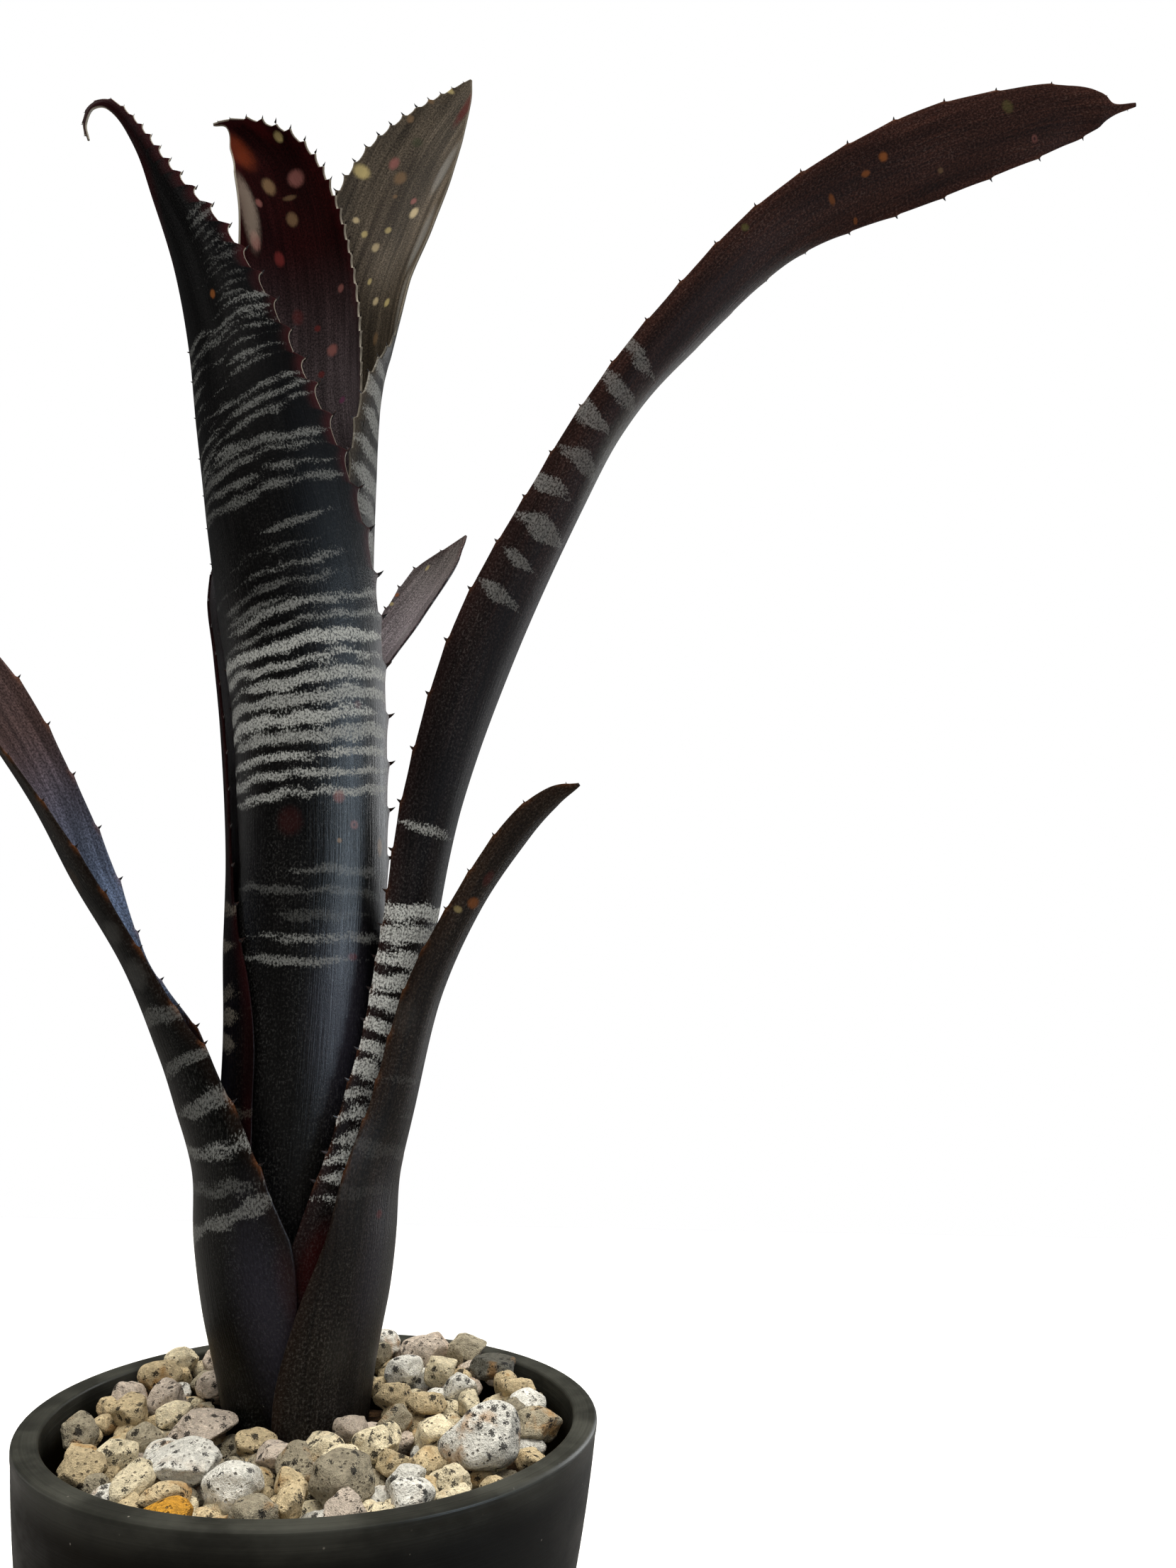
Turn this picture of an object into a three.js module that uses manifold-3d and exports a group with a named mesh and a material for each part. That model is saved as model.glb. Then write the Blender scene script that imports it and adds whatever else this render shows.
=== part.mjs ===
// A potted billbergia: a tubular bromeliad with eight spiny leaves, standing in potting mix under a
// layer of pumice stones, in a round thick-walled pot.
// Millimetres, +Z up. The origin is the centre of the pot's flat underside, +X is to the right and
// +Y away from the front.
import * as THREE from 'three';
import { mergeVertices } from 'three/addons/utils/BufferGeometryUtils.js';
import Module from 'manifold-3d';

const wasm = await Module();
wasm.setup();

// Pot
const RIM_RADIUS = 65;
const POT_HEIGHT = 112;
const WALL_TAPER = 0.0845; // share of the radius lost per rim radius of depth
const WALL_CURVE = 0.0968; // the same, growing with the square of the depth
const RIM_WALL = 5.6;
const BASE_WALL = 4.2;
const FLOOR_THICKNESS = 5;
const LIP_BEVEL = 1;
const LIP_DEPTH = 2.2;
const FOOT_ROUND = 1.8;
const POT_SIDES = 48;
const DRAIN_HOLES = 6;
const DRAIN_RADIUS = 4;
const DRAIN_CIRCLE = 21;
const DRAIN_SIDES = 12;
const CAVITY_LEVELS = [30, 60, 90]; // heights at which the curved inside has an edge
const CLEARANCE = 0.3; // between pieces that rest against each other

// Filling, as depths below the rim
const MIX_DEPTH = 18;
const STONE_LEVEL = -4; // middle of the top stones in front
const STONE_RISE = 5; // how much higher they lie at the back
const RISE_FROM = -20; // the Y where the rise begins, and where it ends
const RISE_TO = 50;
const BED_BELOW = 1.2; // top of the bed under the middle of the stones on it

// Plant, as places in its own frame: X and Y from the middle of the rosette, Z from the rim's level
const PLANT_X = -8;
const PLANT_Y = 12.5;
const SHEATH_FOOT = -12;
const BLADE_THICKNESS = 0.8;
const TOOTH_ROOT_BACK = 0.22; // shares of a tooth's spacing: from its end back to its root
const TOOTH_TIP_AHEAD = 0.1; // and on to its tip
const TOOTH_ROOT_OUT = 0.25; // share of its height at its root
const TOOTH_LEAST = 0.5; // height of a tooth where the blade has no width, and what width adds
const TOOTH_PER_WIDTH = 0.3;
const CROWN_RADIUS = 16.6;
const CROWN_DEPTH = 46;
const CROWN_STEPS = [[0.3, 1], [0.62, 0.72], [0.94, 0.42]]; // shares of its radius and of its depth
const CROWN_EDGE = 1; // height of the bevel round the crown's shoulder
const CROWN_BEVEL = 0.6;
const CORE_STEPS = [[4.4, -12.3], [4, -4], [2.2, 2], [0, 3]]; // radius and level of the stem's core
const STEM_SIDES = 28;

// The rosette's tube: at each level the place of its axis, the radius of the innermost sheath and
// the step from one sheath to the next one round it
const TUBE = [
  { level: -14, axis: 0.5, radius: 5.4, step: 1.5 },
  { level: 0, axis: -0.8, radius: 6.7, step: 1.62 },
  { level: 28, axis: -2.8, radius: 11.4, step: 1.8 },
  { level: 50, axis: -2.9, radius: 13.5, step: 1.82 },
  { level: 75, axis: -2.6, radius: 14.6, step: 1.75 },
  { level: 100, axis: -2.6, radius: 15.2, step: 1.7 },
  { level: 150, axis: -3.4, radius: 15.8, step: 1.65 },
  { level: 200, axis: -10.3, radius: 16.8, step: 1.7 },
];
const SHEATH_LEVELS = [-12, 4, 20, 36, 52, 68, 84, 100, 116, 132, 150, 175, 200];

// Leaves from the innermost to the outermost. A sheath row holds the level, half the angle that the
// sheath wraps and the azimuth of its midrib. A blade row holds the midrib's X, Y and Z, half the
// blade's width, half its curl, the azimuth that its outer face looks to, and that face's tilt.
// Teeth hold the distance from the foot to the first one, their spacing and their height.
const LEAVES = [
  {
    name: 'leaf_tube_inner',
    nest: 0,
    sheath: [[-12, 150, 95], [60, 140, 95], [100, 130, 95], [150, 115, 95], [200, 96, 93]],
    blade: [
      [-13.1, 16.5, 240, 25.7, 92, 92, 0],
      [-17.5, 17.5, 270, 26.5, 77, 90, 0],
      [-20, 17, 300, 21.5, 62, 92, 0],
      [-24.5, 16, 325, 17.5, 55, 95, 0],
      [-31, 15, 342, 14, 50, 100, 5],
      [-39, 14, 351.5, 8, 45, 110, 20],
      [-45, 12.5, 355.5, 1.8, 40, 130, 40],
      [-49.5, 11.5, 354.5, 0.5, 35, 130, 40],
    ],
    teeth: { start: 215, pitch: 9, height: 1.7 },
  },
  {
    name: 'leaf_tube_back',
    nest: 1,
    sheath: [[-12, 140, 60], [60, 130, 60], [100, 120, 60], [150, 110, 56], [200, 96, 52]],
    blade: [
      [0.4, 15.5, 240, 29.7, 92, 50, 0],
      [-4, 23, 275, 26, 66, 66, 0],
      [-4, 25, 305, 22, 50, 76, 0],
      [1, 28, 330, 20, 40, 80, 0],
      [6.5, 30, 350, 17.5, 32, 82, 0],
      [14, 31, 367, 12.5, 28, 82, 0],
      [21.5, 32, 381, 5.6, 25, 82, 0],
      [25.5, 33, 389.5, 0.6, 25, 82, 0],
    ],
    teeth: { start: 215, pitch: 9, height: 1.5 },
  },
  {
    name: 'leaf_tube_front',
    nest: 2,
    sheath: [[-12, 130, -95], [52, 125, -95], [84, 110, -92], [132, 97, -90]],
    blade: [
      [-6, -20.8, 170, 31.9, 90, -90, 0],
      [-12.6, -22.7, 200, 33, 86, -96, 0],
      [-20.3, -22.9, 225, 30.2, 77, -105, 0],
      [-27.9, -21, 250, 24.9, 68, -112, 3],
      [-33, -20, 273, 19, 72, -106, 6],
      [-41.5, -19.5, 296, 12.5, 68, -108, 10],
      [-52, -20, 314.5, 6, 62, -112, 12],
      [-60, -20.5, 328, 2.8, 55, -112, 10],
      [-66.5, -21, 334.5, 1.8, 45, -108, 0],
      [-71.5, -21, 333.5, 1.2, 35, -104, 0],
      [-73, -21, 328, 0.8, 30, -100, 0],
      [-71.5, -21, 323, 0.5, 30, -100, 0],
    ],
    teeth: { start: 70, pitch: 10, height: 1.8 },
  },
  {
    name: 'leaf_back_left',
    nest: 3,
    sheath: [[-12, 108, 145], [20, 108, 145], [84, 98, 147]],
    blade: [
      [-21.8, 11.9, 105, 30, 84, 150, 0],
      [-24.6, 12, 130, 20.6, 62, 155, 0],
      [-28.5, 14, 160, 19.7, 58, 155, 0],
      [-33.5, 17, 185, 16.6, 50, 155, 0],
      [-38, 20, 205, 11, 40, 153, 0],
      [-38, 24, 225, 6, 34, 150, 0],
      [-35, 28, 241, 0.7, 30, 145, 0],
    ],
    teeth: { start: 110, pitch: 10, height: 1.6 },
  },
  {
    name: 'leaf_back_right',
    nest: 4,
    sheath: [[-12, 115, 50], [20, 112, 50], [68, 84, 53], [84, 70, 56]],
    blade: [
      [7, 21.1, 105, 18.7, 50, 60, 0],
      [2.5, 23.4, 129, 9.3, 27, 66, 0],
      [1.3, 26, 155, 10.3, 36, 66, 0],
      [1, 29, 182, 9, 40, 60, -12],
      [13.3, 32, 204.7, 10.6, 36, 55, -25],
      [22, 34, 220, 12.6, 30, 50, -35],
      [26.5, 35, 228.5, 5.5, 30, 50, -35],
      [29.3, 36, 234, 0.5, 28, 50, -35],
    ],
    teeth: { start: 150, pitch: 10, height: 1.2 },
  },
  {
    name: 'leaf_arching_right',
    nest: 5,
    sheath: [[-12, 98, -13], [15, 88, -13], [38, 63, -13], [68, 42, -13]],
    blade: [
      [24, -5.5, 85, 15.5, 55, -13, 0],
      [29, -7, 110, 15.5, 88, -13, -5],
      [34.5, -10, 145, 15.5, 85, -25, -12],
      [46.5, -13, 185, 16.3, 80, -34, -22],
      [64, -15, 225, 13.5, 90, -36, -32],
      [75, -16.5, 247, 11.5, 84, -40, -36],
      [90, -18, 269, 10.3, 62, -55, -38],
      [118.5, -20, 301, 9.8, 36, -75, -38],
      [155, -23, 321, 12.2, 25, -85, -25],
      [183, -25, 331, 10.4, 22, -90, -15],
      [196, -25.5, 334, 7.8, 22, -90, -15],
      [203, -26, 334.5, 5, 22, -90, -15],
      [207, -26, 334.5, 1.6, 22, -90, -15],
      [212.5, -26.5, 335.5, 0.6, 20, -90, -10],
    ],
    teeth: { start: 60, pitch: 14, height: 1.8 },
  },
  {
    name: 'leaf_arching_left',
    nest: 6.2,
    sheath: [[-12, 90, -165], [12, 92, -165], [30, 92.6, -165], [52, 70.2, -165]],
    blade: [
      [-31.3, -8.1, 66, 21.9, 77.5, -163, -20.5],
      [-37.4, -7, 80, 18.6, 73.5, -165, -15.8],
      [-46.6, -9.9, 100.5, 11.3, 65.3, -163, -28.9],
      [-61, -9.3, 122, 13.4, 72, -179, -47.2],
      [-72.5, -10, 143, 11.8, 72, -203, -40],
      [-87.3, -12, 166, 12, 63, -225, -44],
      [-102.5, -14, 185, 10, 53, -230, -50],
      [-118, -16, 200, 6.4, 46, -230, -55],
      [-131, -18, 209, 0.7, 39, -226, -58],
    ],
    teeth: { start: 55, pitch: 11, height: 1.6 },
  },
  {
    name: 'leaf_short_right',
    nest: 7.3,
    sheath: [[-12, 60, -35], [2, 56, -35], [18, 43, -35], [36, 30, -33], [52, 22, -33]],
    blade: [
      [24.5, -13, 68, 9.5, 45, -32, -8],
      [31, -14.5, 95, 8.5, 55, -32, -18],
      [40.5, -16, 117, 6.6, 55, -38, -32],
      [51.5, -18, 134.5, 6, 50, -48, -42],
      [59.5, -19, 143.5, 4, 45, -55, -45],
      [66, -20, 147.5, 0.5, 40, -60, -45],
    ],
    teeth: { start: 60, pitch: 11, height: 1.2 },
  },
];

const WIDE_COLUMNS = 10; // across a leaf whose sheath wraps more than a third of the way round
const NARROW_COLUMNS = 7;
const WIDE_HALF_ANGLE = 100;
const SHEATH_ROW = 17; // spacing of the rows below the teeth
const TEETH_PER_ROW = 2;

// Pumice stones: the large ones in front are placed by hand, as X, Y, height of the centre over the
// rim, length and thickness; the rest fill the ring by a seeded draw.
const STONES_PLACED = [
  [-21, -28, -2, 17.5, 9],
  [-25, -7, -2, 16.5, 8],
  [40, -17, 0, 17, 14],
  [13, -37, -2, 16, 10],
  [38, 34, 0, 15, 8],
  [-18, -51, -3.5, 10, 7],
  [16, -14, -1.8, 12, 9],
  [-52, -9, -3, 11, 8],
  [27.5, -42, -3, 11, 9],
  [20, 43, 1, 14, 11],
  [30, 44, 1, 12, 10],
];
const STONE_SEED = 29;
const STONE_TRIES = 2600;
const STONE_SMALLEST = 9.5;
const STONE_LARGEST = 14;
const STONE_CROWDING = 0.84; // how near two stones may lie, in shares of their radii
const STONE_FLATNESS = 0.72;
const STONE_RING = 57;
const PLANT_RING = 22.5;
const STONE_CORNER = 0.86; // how far out the nearest corner of a stone lies, and what a draw adds
const STONE_CORNER_DRAW = 0.34;
const STONE_BREADTH = 0.72; // least breadth of a stone, as a share of its length
const BED_RINGS = [1, 0.7, 0.4]; // where the bed's top has an edge, as shares of its radius
const PLANT_HOLE = [[0, -30], [18.4, -30], [18.4, -12], [19.6, 0], [22.5, 14], [0, 14]];
const PLANT_HOLE_SIDES = 24;
const PLANT_HOLE_SHIFT = -1; // the sheaths lean to the left as they leave the crown

/** Linear interpolation, at a level, in rows that each start with their level. */
function rowAt(rows, level) {
  let i = 0;
  while (i < rows.length - 2 && level > rows[i + 1][0]) i += 1;
  const share = THREE.MathUtils.clamp((level - rows[i][0]) / (rows[i + 1][0] - rows[i][0]), 0, 1);
  return rows[i].map((value, k) => THREE.MathUtils.lerp(value, rows[i + 1][k], share));
}

/**
 * Blade rows for a leaf's sheath, which lies round the tube's axis at its place in the nest. All
 * sheaths have their rows at the same levels, so that they stay clear of each other between them.
 */
function sheathRows(leaf) {
  const tube = TUBE.map((row) => [row.level, row.axis, row.radius, row.step]);
  const top = leaf.sheath[leaf.sheath.length - 1][0];
  const levels = SHEATH_LEVELS.filter((level) => level <= top);
  return levels.map((level) => {
    const [, halfAngle, azimuth] = rowAt(leaf.sheath, level);
    const [, axis, innermost, step] = rowAt(tube, level);
    const radius = innermost + leaf.nest * step;
    const turn = THREE.MathUtils.degToRad(azimuth);
    const halfWidth = radius * THREE.MathUtils.degToRad(halfAngle);
    const x = axis + radius * Math.cos(turn);
    return [x, radius * Math.sin(turn), level, halfWidth, halfAngle, azimuth, 0];
  });
}

/** Catmull-Rom interpolation between rows, with the ends carried on straight. */
function splineRow(rows, place) {
  const last = rows.length - 1;
  const i = THREE.MathUtils.clamp(Math.floor(place), 0, last - 1);
  const t = place - i;
  return rows[i].map((value, k) => {
    const p1 = value;
    const p2 = rows[i + 1][k];
    const p0 = i > 0 ? rows[i - 1][k] : 2 * p1 - p2;
    const p3 = i + 2 <= last ? rows[i + 2][k] : 2 * p2 - p1;
    const square = (2 * p0 - 5 * p1 + 4 * p2 - p3) * t * t;
    const cube = (3 * p1 - p0 - 3 * p2 + p3) * t * t * t;
    return 0.5 * (2 * p1 + (p2 - p0) * t + square + cube);
  });
}

/** The midrib curve of a leaf: rows by distance along it, each with its place, width and frame. */
class Midrib {
  constructor(leaf) {
    this.rows = sheathRows(leaf).concat(leaf.blade);
    this.places = [0];
    this.lengths = [0];
    const steps = 40;
    let before = splineRow(this.rows, 0);
    for (let i = 1; i <= steps * (this.rows.length - 1); i += 1) {
      const row = splineRow(this.rows, i / steps);
      const run = Math.hypot(row[0] - before[0], row[1] - before[1], row[2] - before[2]);
      this.places.push(i / steps);
      this.lengths.push(this.lengths[i - 1] + run);
      before = row;
    }
    this.length = this.lengths[this.lengths.length - 1];
  }

  placeAt(distance) {
    let i = 1;
    while (i < this.lengths.length - 1 && this.lengths[i] < distance) i += 1;
    const share = (distance - this.lengths[i - 1]) / (this.lengths[i] - this.lengths[i - 1]);
    return THREE.MathUtils.lerp(this.places[i - 1], this.places[i], share);
  }

  at(distance) {
    const place = this.placeAt(THREE.MathUtils.clamp(distance, 0, this.length));
    const row = splineRow(this.rows, place);
    const step = 0.01;
    const ahead = splineRow(this.rows, Math.min(place + step, this.rows.length - 1));
    const behind = splineRow(this.rows, Math.max(place - step, 0));
    const along = new THREE.Vector3(ahead[0] - behind[0], ahead[1] - behind[1], ahead[2] - behind[2]);
    along.normalize();
    const turn = THREE.MathUtils.degToRad(row[5]);
    const tilt = THREE.MathUtils.degToRad(row[6]);
    const face = new THREE.Vector3(
      Math.cos(turn) * Math.cos(tilt),
      Math.sin(turn) * Math.cos(tilt),
      Math.sin(tilt),
    );
    face.addScaledVector(along, -face.dot(along)).normalize();
    const beside = new THREE.Vector3().crossVectors(along, face);
    return {
      middle: new THREE.Vector3(row[0], row[1], row[2]),
      halfWidth: Math.max(row[3], 0.4),
      curl: THREE.MathUtils.degToRad(Math.max(row[4], 2)),
      face,
      beside,
    };
  }
}

/**
 * A pair of points, on the outer and on the inner face of a leaf. The section is an arc through the
 * midrib, `across` runs from -1 at one margin to 1 at the other, and `past` is how far beyond the
 * margin the point lies.
 */
function bladePair(frame, across, past) {
  const angle = across * frame.curl;
  const radius = frame.halfWidth / frame.curl;
  const side = Math.sign(across);
  const middle = frame.middle
    .clone()
    .addScaledVector(frame.face, radius * (Math.cos(angle) - 1) - side * past * Math.sin(angle))
    .addScaledVector(frame.beside, radius * Math.sin(angle) + side * past * Math.cos(angle));
  const normal = frame.face
    .clone()
    .multiplyScalar(Math.cos(angle))
    .addScaledVector(frame.beside, Math.sin(angle));
  const half = BLADE_THICKNESS / 2;
  return [middle.clone().addScaledVector(normal, half), middle.clone().addScaledVector(normal, -half)];
}

/** The levels of a leaf's rows, and which of the spans between them carry teeth. */
function leafRows(leaf, length) {
  const bare = Math.max(1, Math.round(leaf.teeth.start / SHEATH_ROW));
  const toothed = Math.max(1, Math.round((length - leaf.teeth.start) / (leaf.teeth.pitch * TEETH_PER_ROW)));
  const rows = [];
  for (let i = 0; i <= bare; i += 1) rows.push((leaf.teeth.start * i) / bare);
  for (let i = 1; i <= toothed; i += 1) {
    rows.push(leaf.teeth.start + ((length - leaf.teeth.start) * i) / toothed);
  }
  return { rows, bare };
}

/**
 * A leaf as one closed body. Its rows are joined across by triangles that are alike on both faces,
 * and each margin carries forward-pointing teeth that are part of the same blade.
 */
function leafGeometry(leaf) {
  const midrib = new Midrib(leaf);
  const { rows, bare } = leafRows(leaf, midrib.length);
  const columns = leaf.sheath[0][1] > WIDE_HALF_ANGLE ? WIDE_COLUMNS : NARROW_COLUMNS;
  const pairs = [];
  const triangles = [];
  const addPair = (distance, across, past) => {
    pairs.push(bladePair(midrib.at(distance), across, past));
    return pairs.length - 1;
  };
  const grid = rows.map((distance) => {
    const line = [];
    for (let j = 0; j < columns; j += 1) line.push(addPair(distance, -1 + (2 * j) / (columns - 1), 0));
    return line;
  });
  for (let i = 0; i < rows.length - 1; i += 1) {
    for (let j = 1; j < columns - 2; j += 1) {
      triangles.push([grid[i][j], grid[i][j + 1], grid[i + 1][j + 1]]);
      triangles.push([grid[i][j], grid[i + 1][j + 1], grid[i + 1][j]]);
    }
    for (const side of [-1, 1]) {
      const edge = side < 0 ? 0 : columns - 1;
      const next = side < 0 ? 1 : columns - 2;
      const points = [grid[i][edge]];
      const teeth = i >= bare && i < rows.length - 2 ? TEETH_PER_ROW : 0;
      const span = (rows[i + 1] - rows[i]) / TEETH_PER_ROW;
      for (let k = 0; k < teeth; k += 1) {
        const valley = rows[i] + span * (k + 1);
        const most = TOOTH_LEAST + midrib.at(valley).halfWidth * TOOTH_PER_WIDTH;
        const size = Math.min(leaf.teeth.height, most);
        const root = addPair(valley - TOOTH_ROOT_BACK * span, side, TOOTH_ROOT_OUT * size);
        const tip = addPair(valley + TOOTH_TIP_AHEAD * span, side, size);
        const top = k === teeth - 1 ? grid[i + 1][edge] : addPair(valley, side, 0);
        triangles.push(side > 0 ? [root, tip, top] : [root, top, tip]);
        points.push(root, top);
      }
      if (teeth === 0) points.push(grid[i + 1][edge]);
      const middle = Math.floor(points.length / 2);
      for (let k = 0; k < points.length - 1; k += 1) {
        const inner = k < middle ? grid[i][next] : grid[i + 1][next];
        triangles.push(side > 0 ? [inner, points[k], points[k + 1]] : [points[k], inner, points[k + 1]]);
      }
      const hinge = points[middle];
      const low = grid[i][next];
      const high = grid[i + 1][next];
      triangles.push(side > 0 ? [low, hinge, high] : [hinge, low, high]);
    }
  }
  return sheetSolid(pairs, triangles);
}

/** A closed body from pairs of points and the triangles of one face, seen from the outer side. */
function sheetSolid(pairs, triangles) {
  const indices = [];
  const directed = new Set();
  for (const [a, b, c] of triangles) {
    indices.push(2 * a, 2 * b, 2 * c);
    indices.push(2 * a + 1, 2 * c + 1, 2 * b + 1);
    directed.add(`${a},${b}`).add(`${b},${c}`).add(`${c},${a}`);
  }
  for (const [a, b, c] of triangles) {
    for (const [from, to] of [[a, b], [b, c], [c, a]]) {
      if (!directed.has(`${to},${from}`)) {
        indices.push(2 * from, 2 * from + 1, 2 * to + 1);
        indices.push(2 * from, 2 * to + 1, 2 * to);
      }
    }
  }
  const geometry = new THREE.BufferGeometry();
  const places = pairs.flat().flatMap((point) => [point.x, point.y, point.z]);
  geometry.setAttribute('position', new THREE.Float32BufferAttribute(places, 3));
  geometry.setIndex(indices);
  return geometry;
}

/** A manifold solid from a closed geometry. */
function solidOf(geometry) {
  const bare = new THREE.BufferGeometry();
  bare.setAttribute('position', geometry.getAttribute('position'));
  bare.setIndex(geometry.getIndex());
  const merged = mergeVertices(bare, 1e-4);
  const position = merged.getAttribute('position');
  const corners = merged.getIndex().array;
  const kept = [];
  for (let i = 0; i < corners.length; i += 3) {
    const [a, b, c] = [corners[i], corners[i + 1], corners[i + 2]];
    if (a !== b && b !== c && c !== a) kept.push(a, b, c);
  }
  const mesh = new wasm.Mesh({
    numProp: 3,
    vertProperties: new Float32Array(position.array),
    triVerts: new Uint32Array(kept),
  });
  return new wasm.Manifold(mesh);
}

/** A geometry from a manifold solid. */
function geometryOf(solid) {
  const mesh = solid.getMesh();
  const geometry = new THREE.BufferGeometry();
  geometry.setAttribute('position', new THREE.Float32BufferAttribute(mesh.vertProperties, 3));
  geometry.setIndex(Array.from(mesh.triVerts));
  return geometry;
}

/** A turned body about +Z, from points given as radius and height, moved to X and Y. */
function turned(profile, sides, x = 0, y = 0) {
  const points = profile.map(([radius, height]) => new THREE.Vector2(radius, height));
  const geometry = new THREE.LatheGeometry(points, sides);
  geometry.rotateX(Math.PI / 2);
  geometry.translate(x, y, 0);
  return geometry;
}

/** Outer radius of the pot at a height over its underside: it curves in towards the foot. */
function potRadius(height) {
  const depth = (POT_HEIGHT - height) / RIM_RADIUS;
  return RIM_RADIUS * (1 - WALL_TAPER * depth - WALL_CURVE * depth * depth);
}

/** Inner radius of the pot at a height: the wall grows thicker towards the rim. */
function cavityRadius(height) {
  return potRadius(height) - THREE.MathUtils.lerp(BASE_WALL, RIM_WALL, height / POT_HEIGHT);
}

function potGeometry() {
  const profile = [[0, 0], [potRadius(0) - FOOT_ROUND, 0], [potRadius(0), FOOT_ROUND]];
  const lipFoot = POT_HEIGHT - LIP_DEPTH;
  for (const share of [0.2, 0.4, 0.6, 0.8]) profile.push([potRadius(lipFoot * share), lipFoot * share]);
  profile.push([potRadius(lipFoot), lipFoot]);
  profile.push([RIM_RADIUS, POT_HEIGHT - LIP_BEVEL]);
  profile.push([RIM_RADIUS - LIP_BEVEL, POT_HEIGHT]);
  for (const height of [POT_HEIGHT, ...CAVITY_LEVELS.toReversed(), FLOOR_THICKNESS]) {
    profile.push([cavityRadius(height), height]);
  }
  profile.push([0, FLOOR_THICKNESS]);
  let pot = solidOf(turned(profile, POT_SIDES));
  for (let i = 0; i < DRAIN_HOLES; i += 1) {
    const turn = (i * 2 * Math.PI) / DRAIN_HOLES;
    const drill = new THREE.CylinderGeometry(DRAIN_RADIUS, DRAIN_RADIUS, 4 * FLOOR_THICKNESS, DRAIN_SIDES);
    drill.rotateX(Math.PI / 2);
    drill.translate(DRAIN_CIRCLE * Math.cos(turn), DRAIN_CIRCLE * Math.sin(turn), 0);
    pot = pot.subtract(solidOf(drill));
  }
  return geometryOf(pot);
}

/** Profile of the crown that carries the sheaths, from its lowest point to its shoulder. */
function crownProfile(gap) {
  const profile = [[0, -CROWN_DEPTH - gap]];
  for (const [width, depth] of CROWN_STEPS) {
    profile.push([CROWN_RADIUS * width + gap, -CROWN_DEPTH * depth]);
  }
  profile[1][1] -= gap;
  profile.push([CROWN_RADIUS + gap, CORE_STEPS[0][1] - CROWN_EDGE]);
  return profile;
}

/** The plant's short stem: the crown with a core inside the sheaths, all below the stones' tops. */
function stemGeometry() {
  const shoulder = [CROWN_RADIUS - CROWN_BEVEL, CORE_STEPS[0][1]];
  const geometry = turned(crownProfile(0).concat([shoulder], CORE_STEPS), STEM_SIDES, PLANT_X, PLANT_Y);
  geometry.translate(0, 0, POT_HEIGHT);
  return geometry;
}

function mixGeometry() {
  const top = POT_HEIGHT - MIX_DEPTH;
  const floor = FLOOR_THICKNESS + CLEARANCE;
  const profile = [[0, floor]];
  for (const height of [floor, ...CAVITY_LEVELS, top]) {
    profile.push([cavityRadius(height) - CLEARANCE, height]);
  }
  profile.push([0, top]);
  const hole = crownProfile(CLEARANCE).concat([[CROWN_RADIUS + CLEARANCE, 0], [0, 0]]);
  const plug = turned(hole, STEM_SIDES, PLANT_X, PLANT_Y);
  plug.translate(0, 0, POT_HEIGHT);
  return geometryOf(solidOf(turned(profile, POT_SIDES)).subtract(solidOf(plug)));
}

/** A repeatable random draw between 0 and 1: the minimal standard generator. */
function seededDraw(seed) {
  const modulus = 2147483647;
  let state = seed;
  return () => {
    state = (state * 16807) % modulus;
    return state / modulus;
  };
}

/** Level of the top stones' middles over the rim at a place: they are mounded at the back. */
function stoneLevel(y) {
  return STONE_LEVEL + STONE_RISE * THREE.MathUtils.smoothstep(y, RISE_FROM, RISE_TO);
}

/** The stones: those placed by hand, then a seeded draw that keeps those that don't crowd. */
function stonePlaces() {
  const draw = seededDraw(STONE_SEED);
  const stones = STONES_PLACED.map(([x, y, z, length, thickness]) => ({ x, y, z, length, thickness }));
  for (let i = 0; i < STONE_TRIES; i += 1) {
    const reach = STONE_RING * Math.sqrt(draw());
    const turn = 2 * Math.PI * draw();
    const length = THREE.MathUtils.lerp(STONE_SMALLEST, STONE_LARGEST, draw() ** 1.6);
    const x = reach * Math.cos(turn);
    const y = reach * Math.sin(turn);
    const lift = draw();
    const fromPlant = Math.hypot(x - PLANT_X, y - PLANT_Y);
    const fromWall = STONE_RING + 0.5 - reach;
    const clear = stones.every((other) => {
      const room = (STONE_CROWDING * (length + other.length)) / 2;
      return Math.hypot(x - other.x, y - other.y) > room;
    });
    if (clear && fromPlant > PLANT_RING && fromWall > length * 0.5) {
      stones.push({ x, y, z: stoneLevel(y) + lift, length, thickness: length * STONE_FLATNESS });
    }
  }
  return stones;
}

/** One angular pebble: an icosahedron with each corner pushed in or out, squashed and turned. */
function stoneGeometry(stone, draw) {
  const corners = new THREE.IcosahedronGeometry(1, 0);
  corners.deleteAttribute('normal');
  corners.deleteAttribute('uv');
  const pebble = mergeVertices(corners, 1e-4);
  const position = pebble.getAttribute('position');
  for (let i = 0; i < position.count; i += 1) {
    const push = STONE_CORNER + STONE_CORNER_DRAW * draw();
    position.setXYZ(i, position.getX(i) * push, position.getY(i) * push, position.getZ(i) * push);
  }
  const breadth = THREE.MathUtils.lerp(STONE_BREADTH, 1, draw());
  pebble.rotateX(Math.PI * draw());
  pebble.scale(stone.length / 2, (stone.length / 2) * breadth, stone.thickness / 2);
  pebble.rotateZ(2 * Math.PI * draw());
  pebble.translate(stone.x, stone.y, POT_HEIGHT + stone.z);
  return pebble;
}

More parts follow.
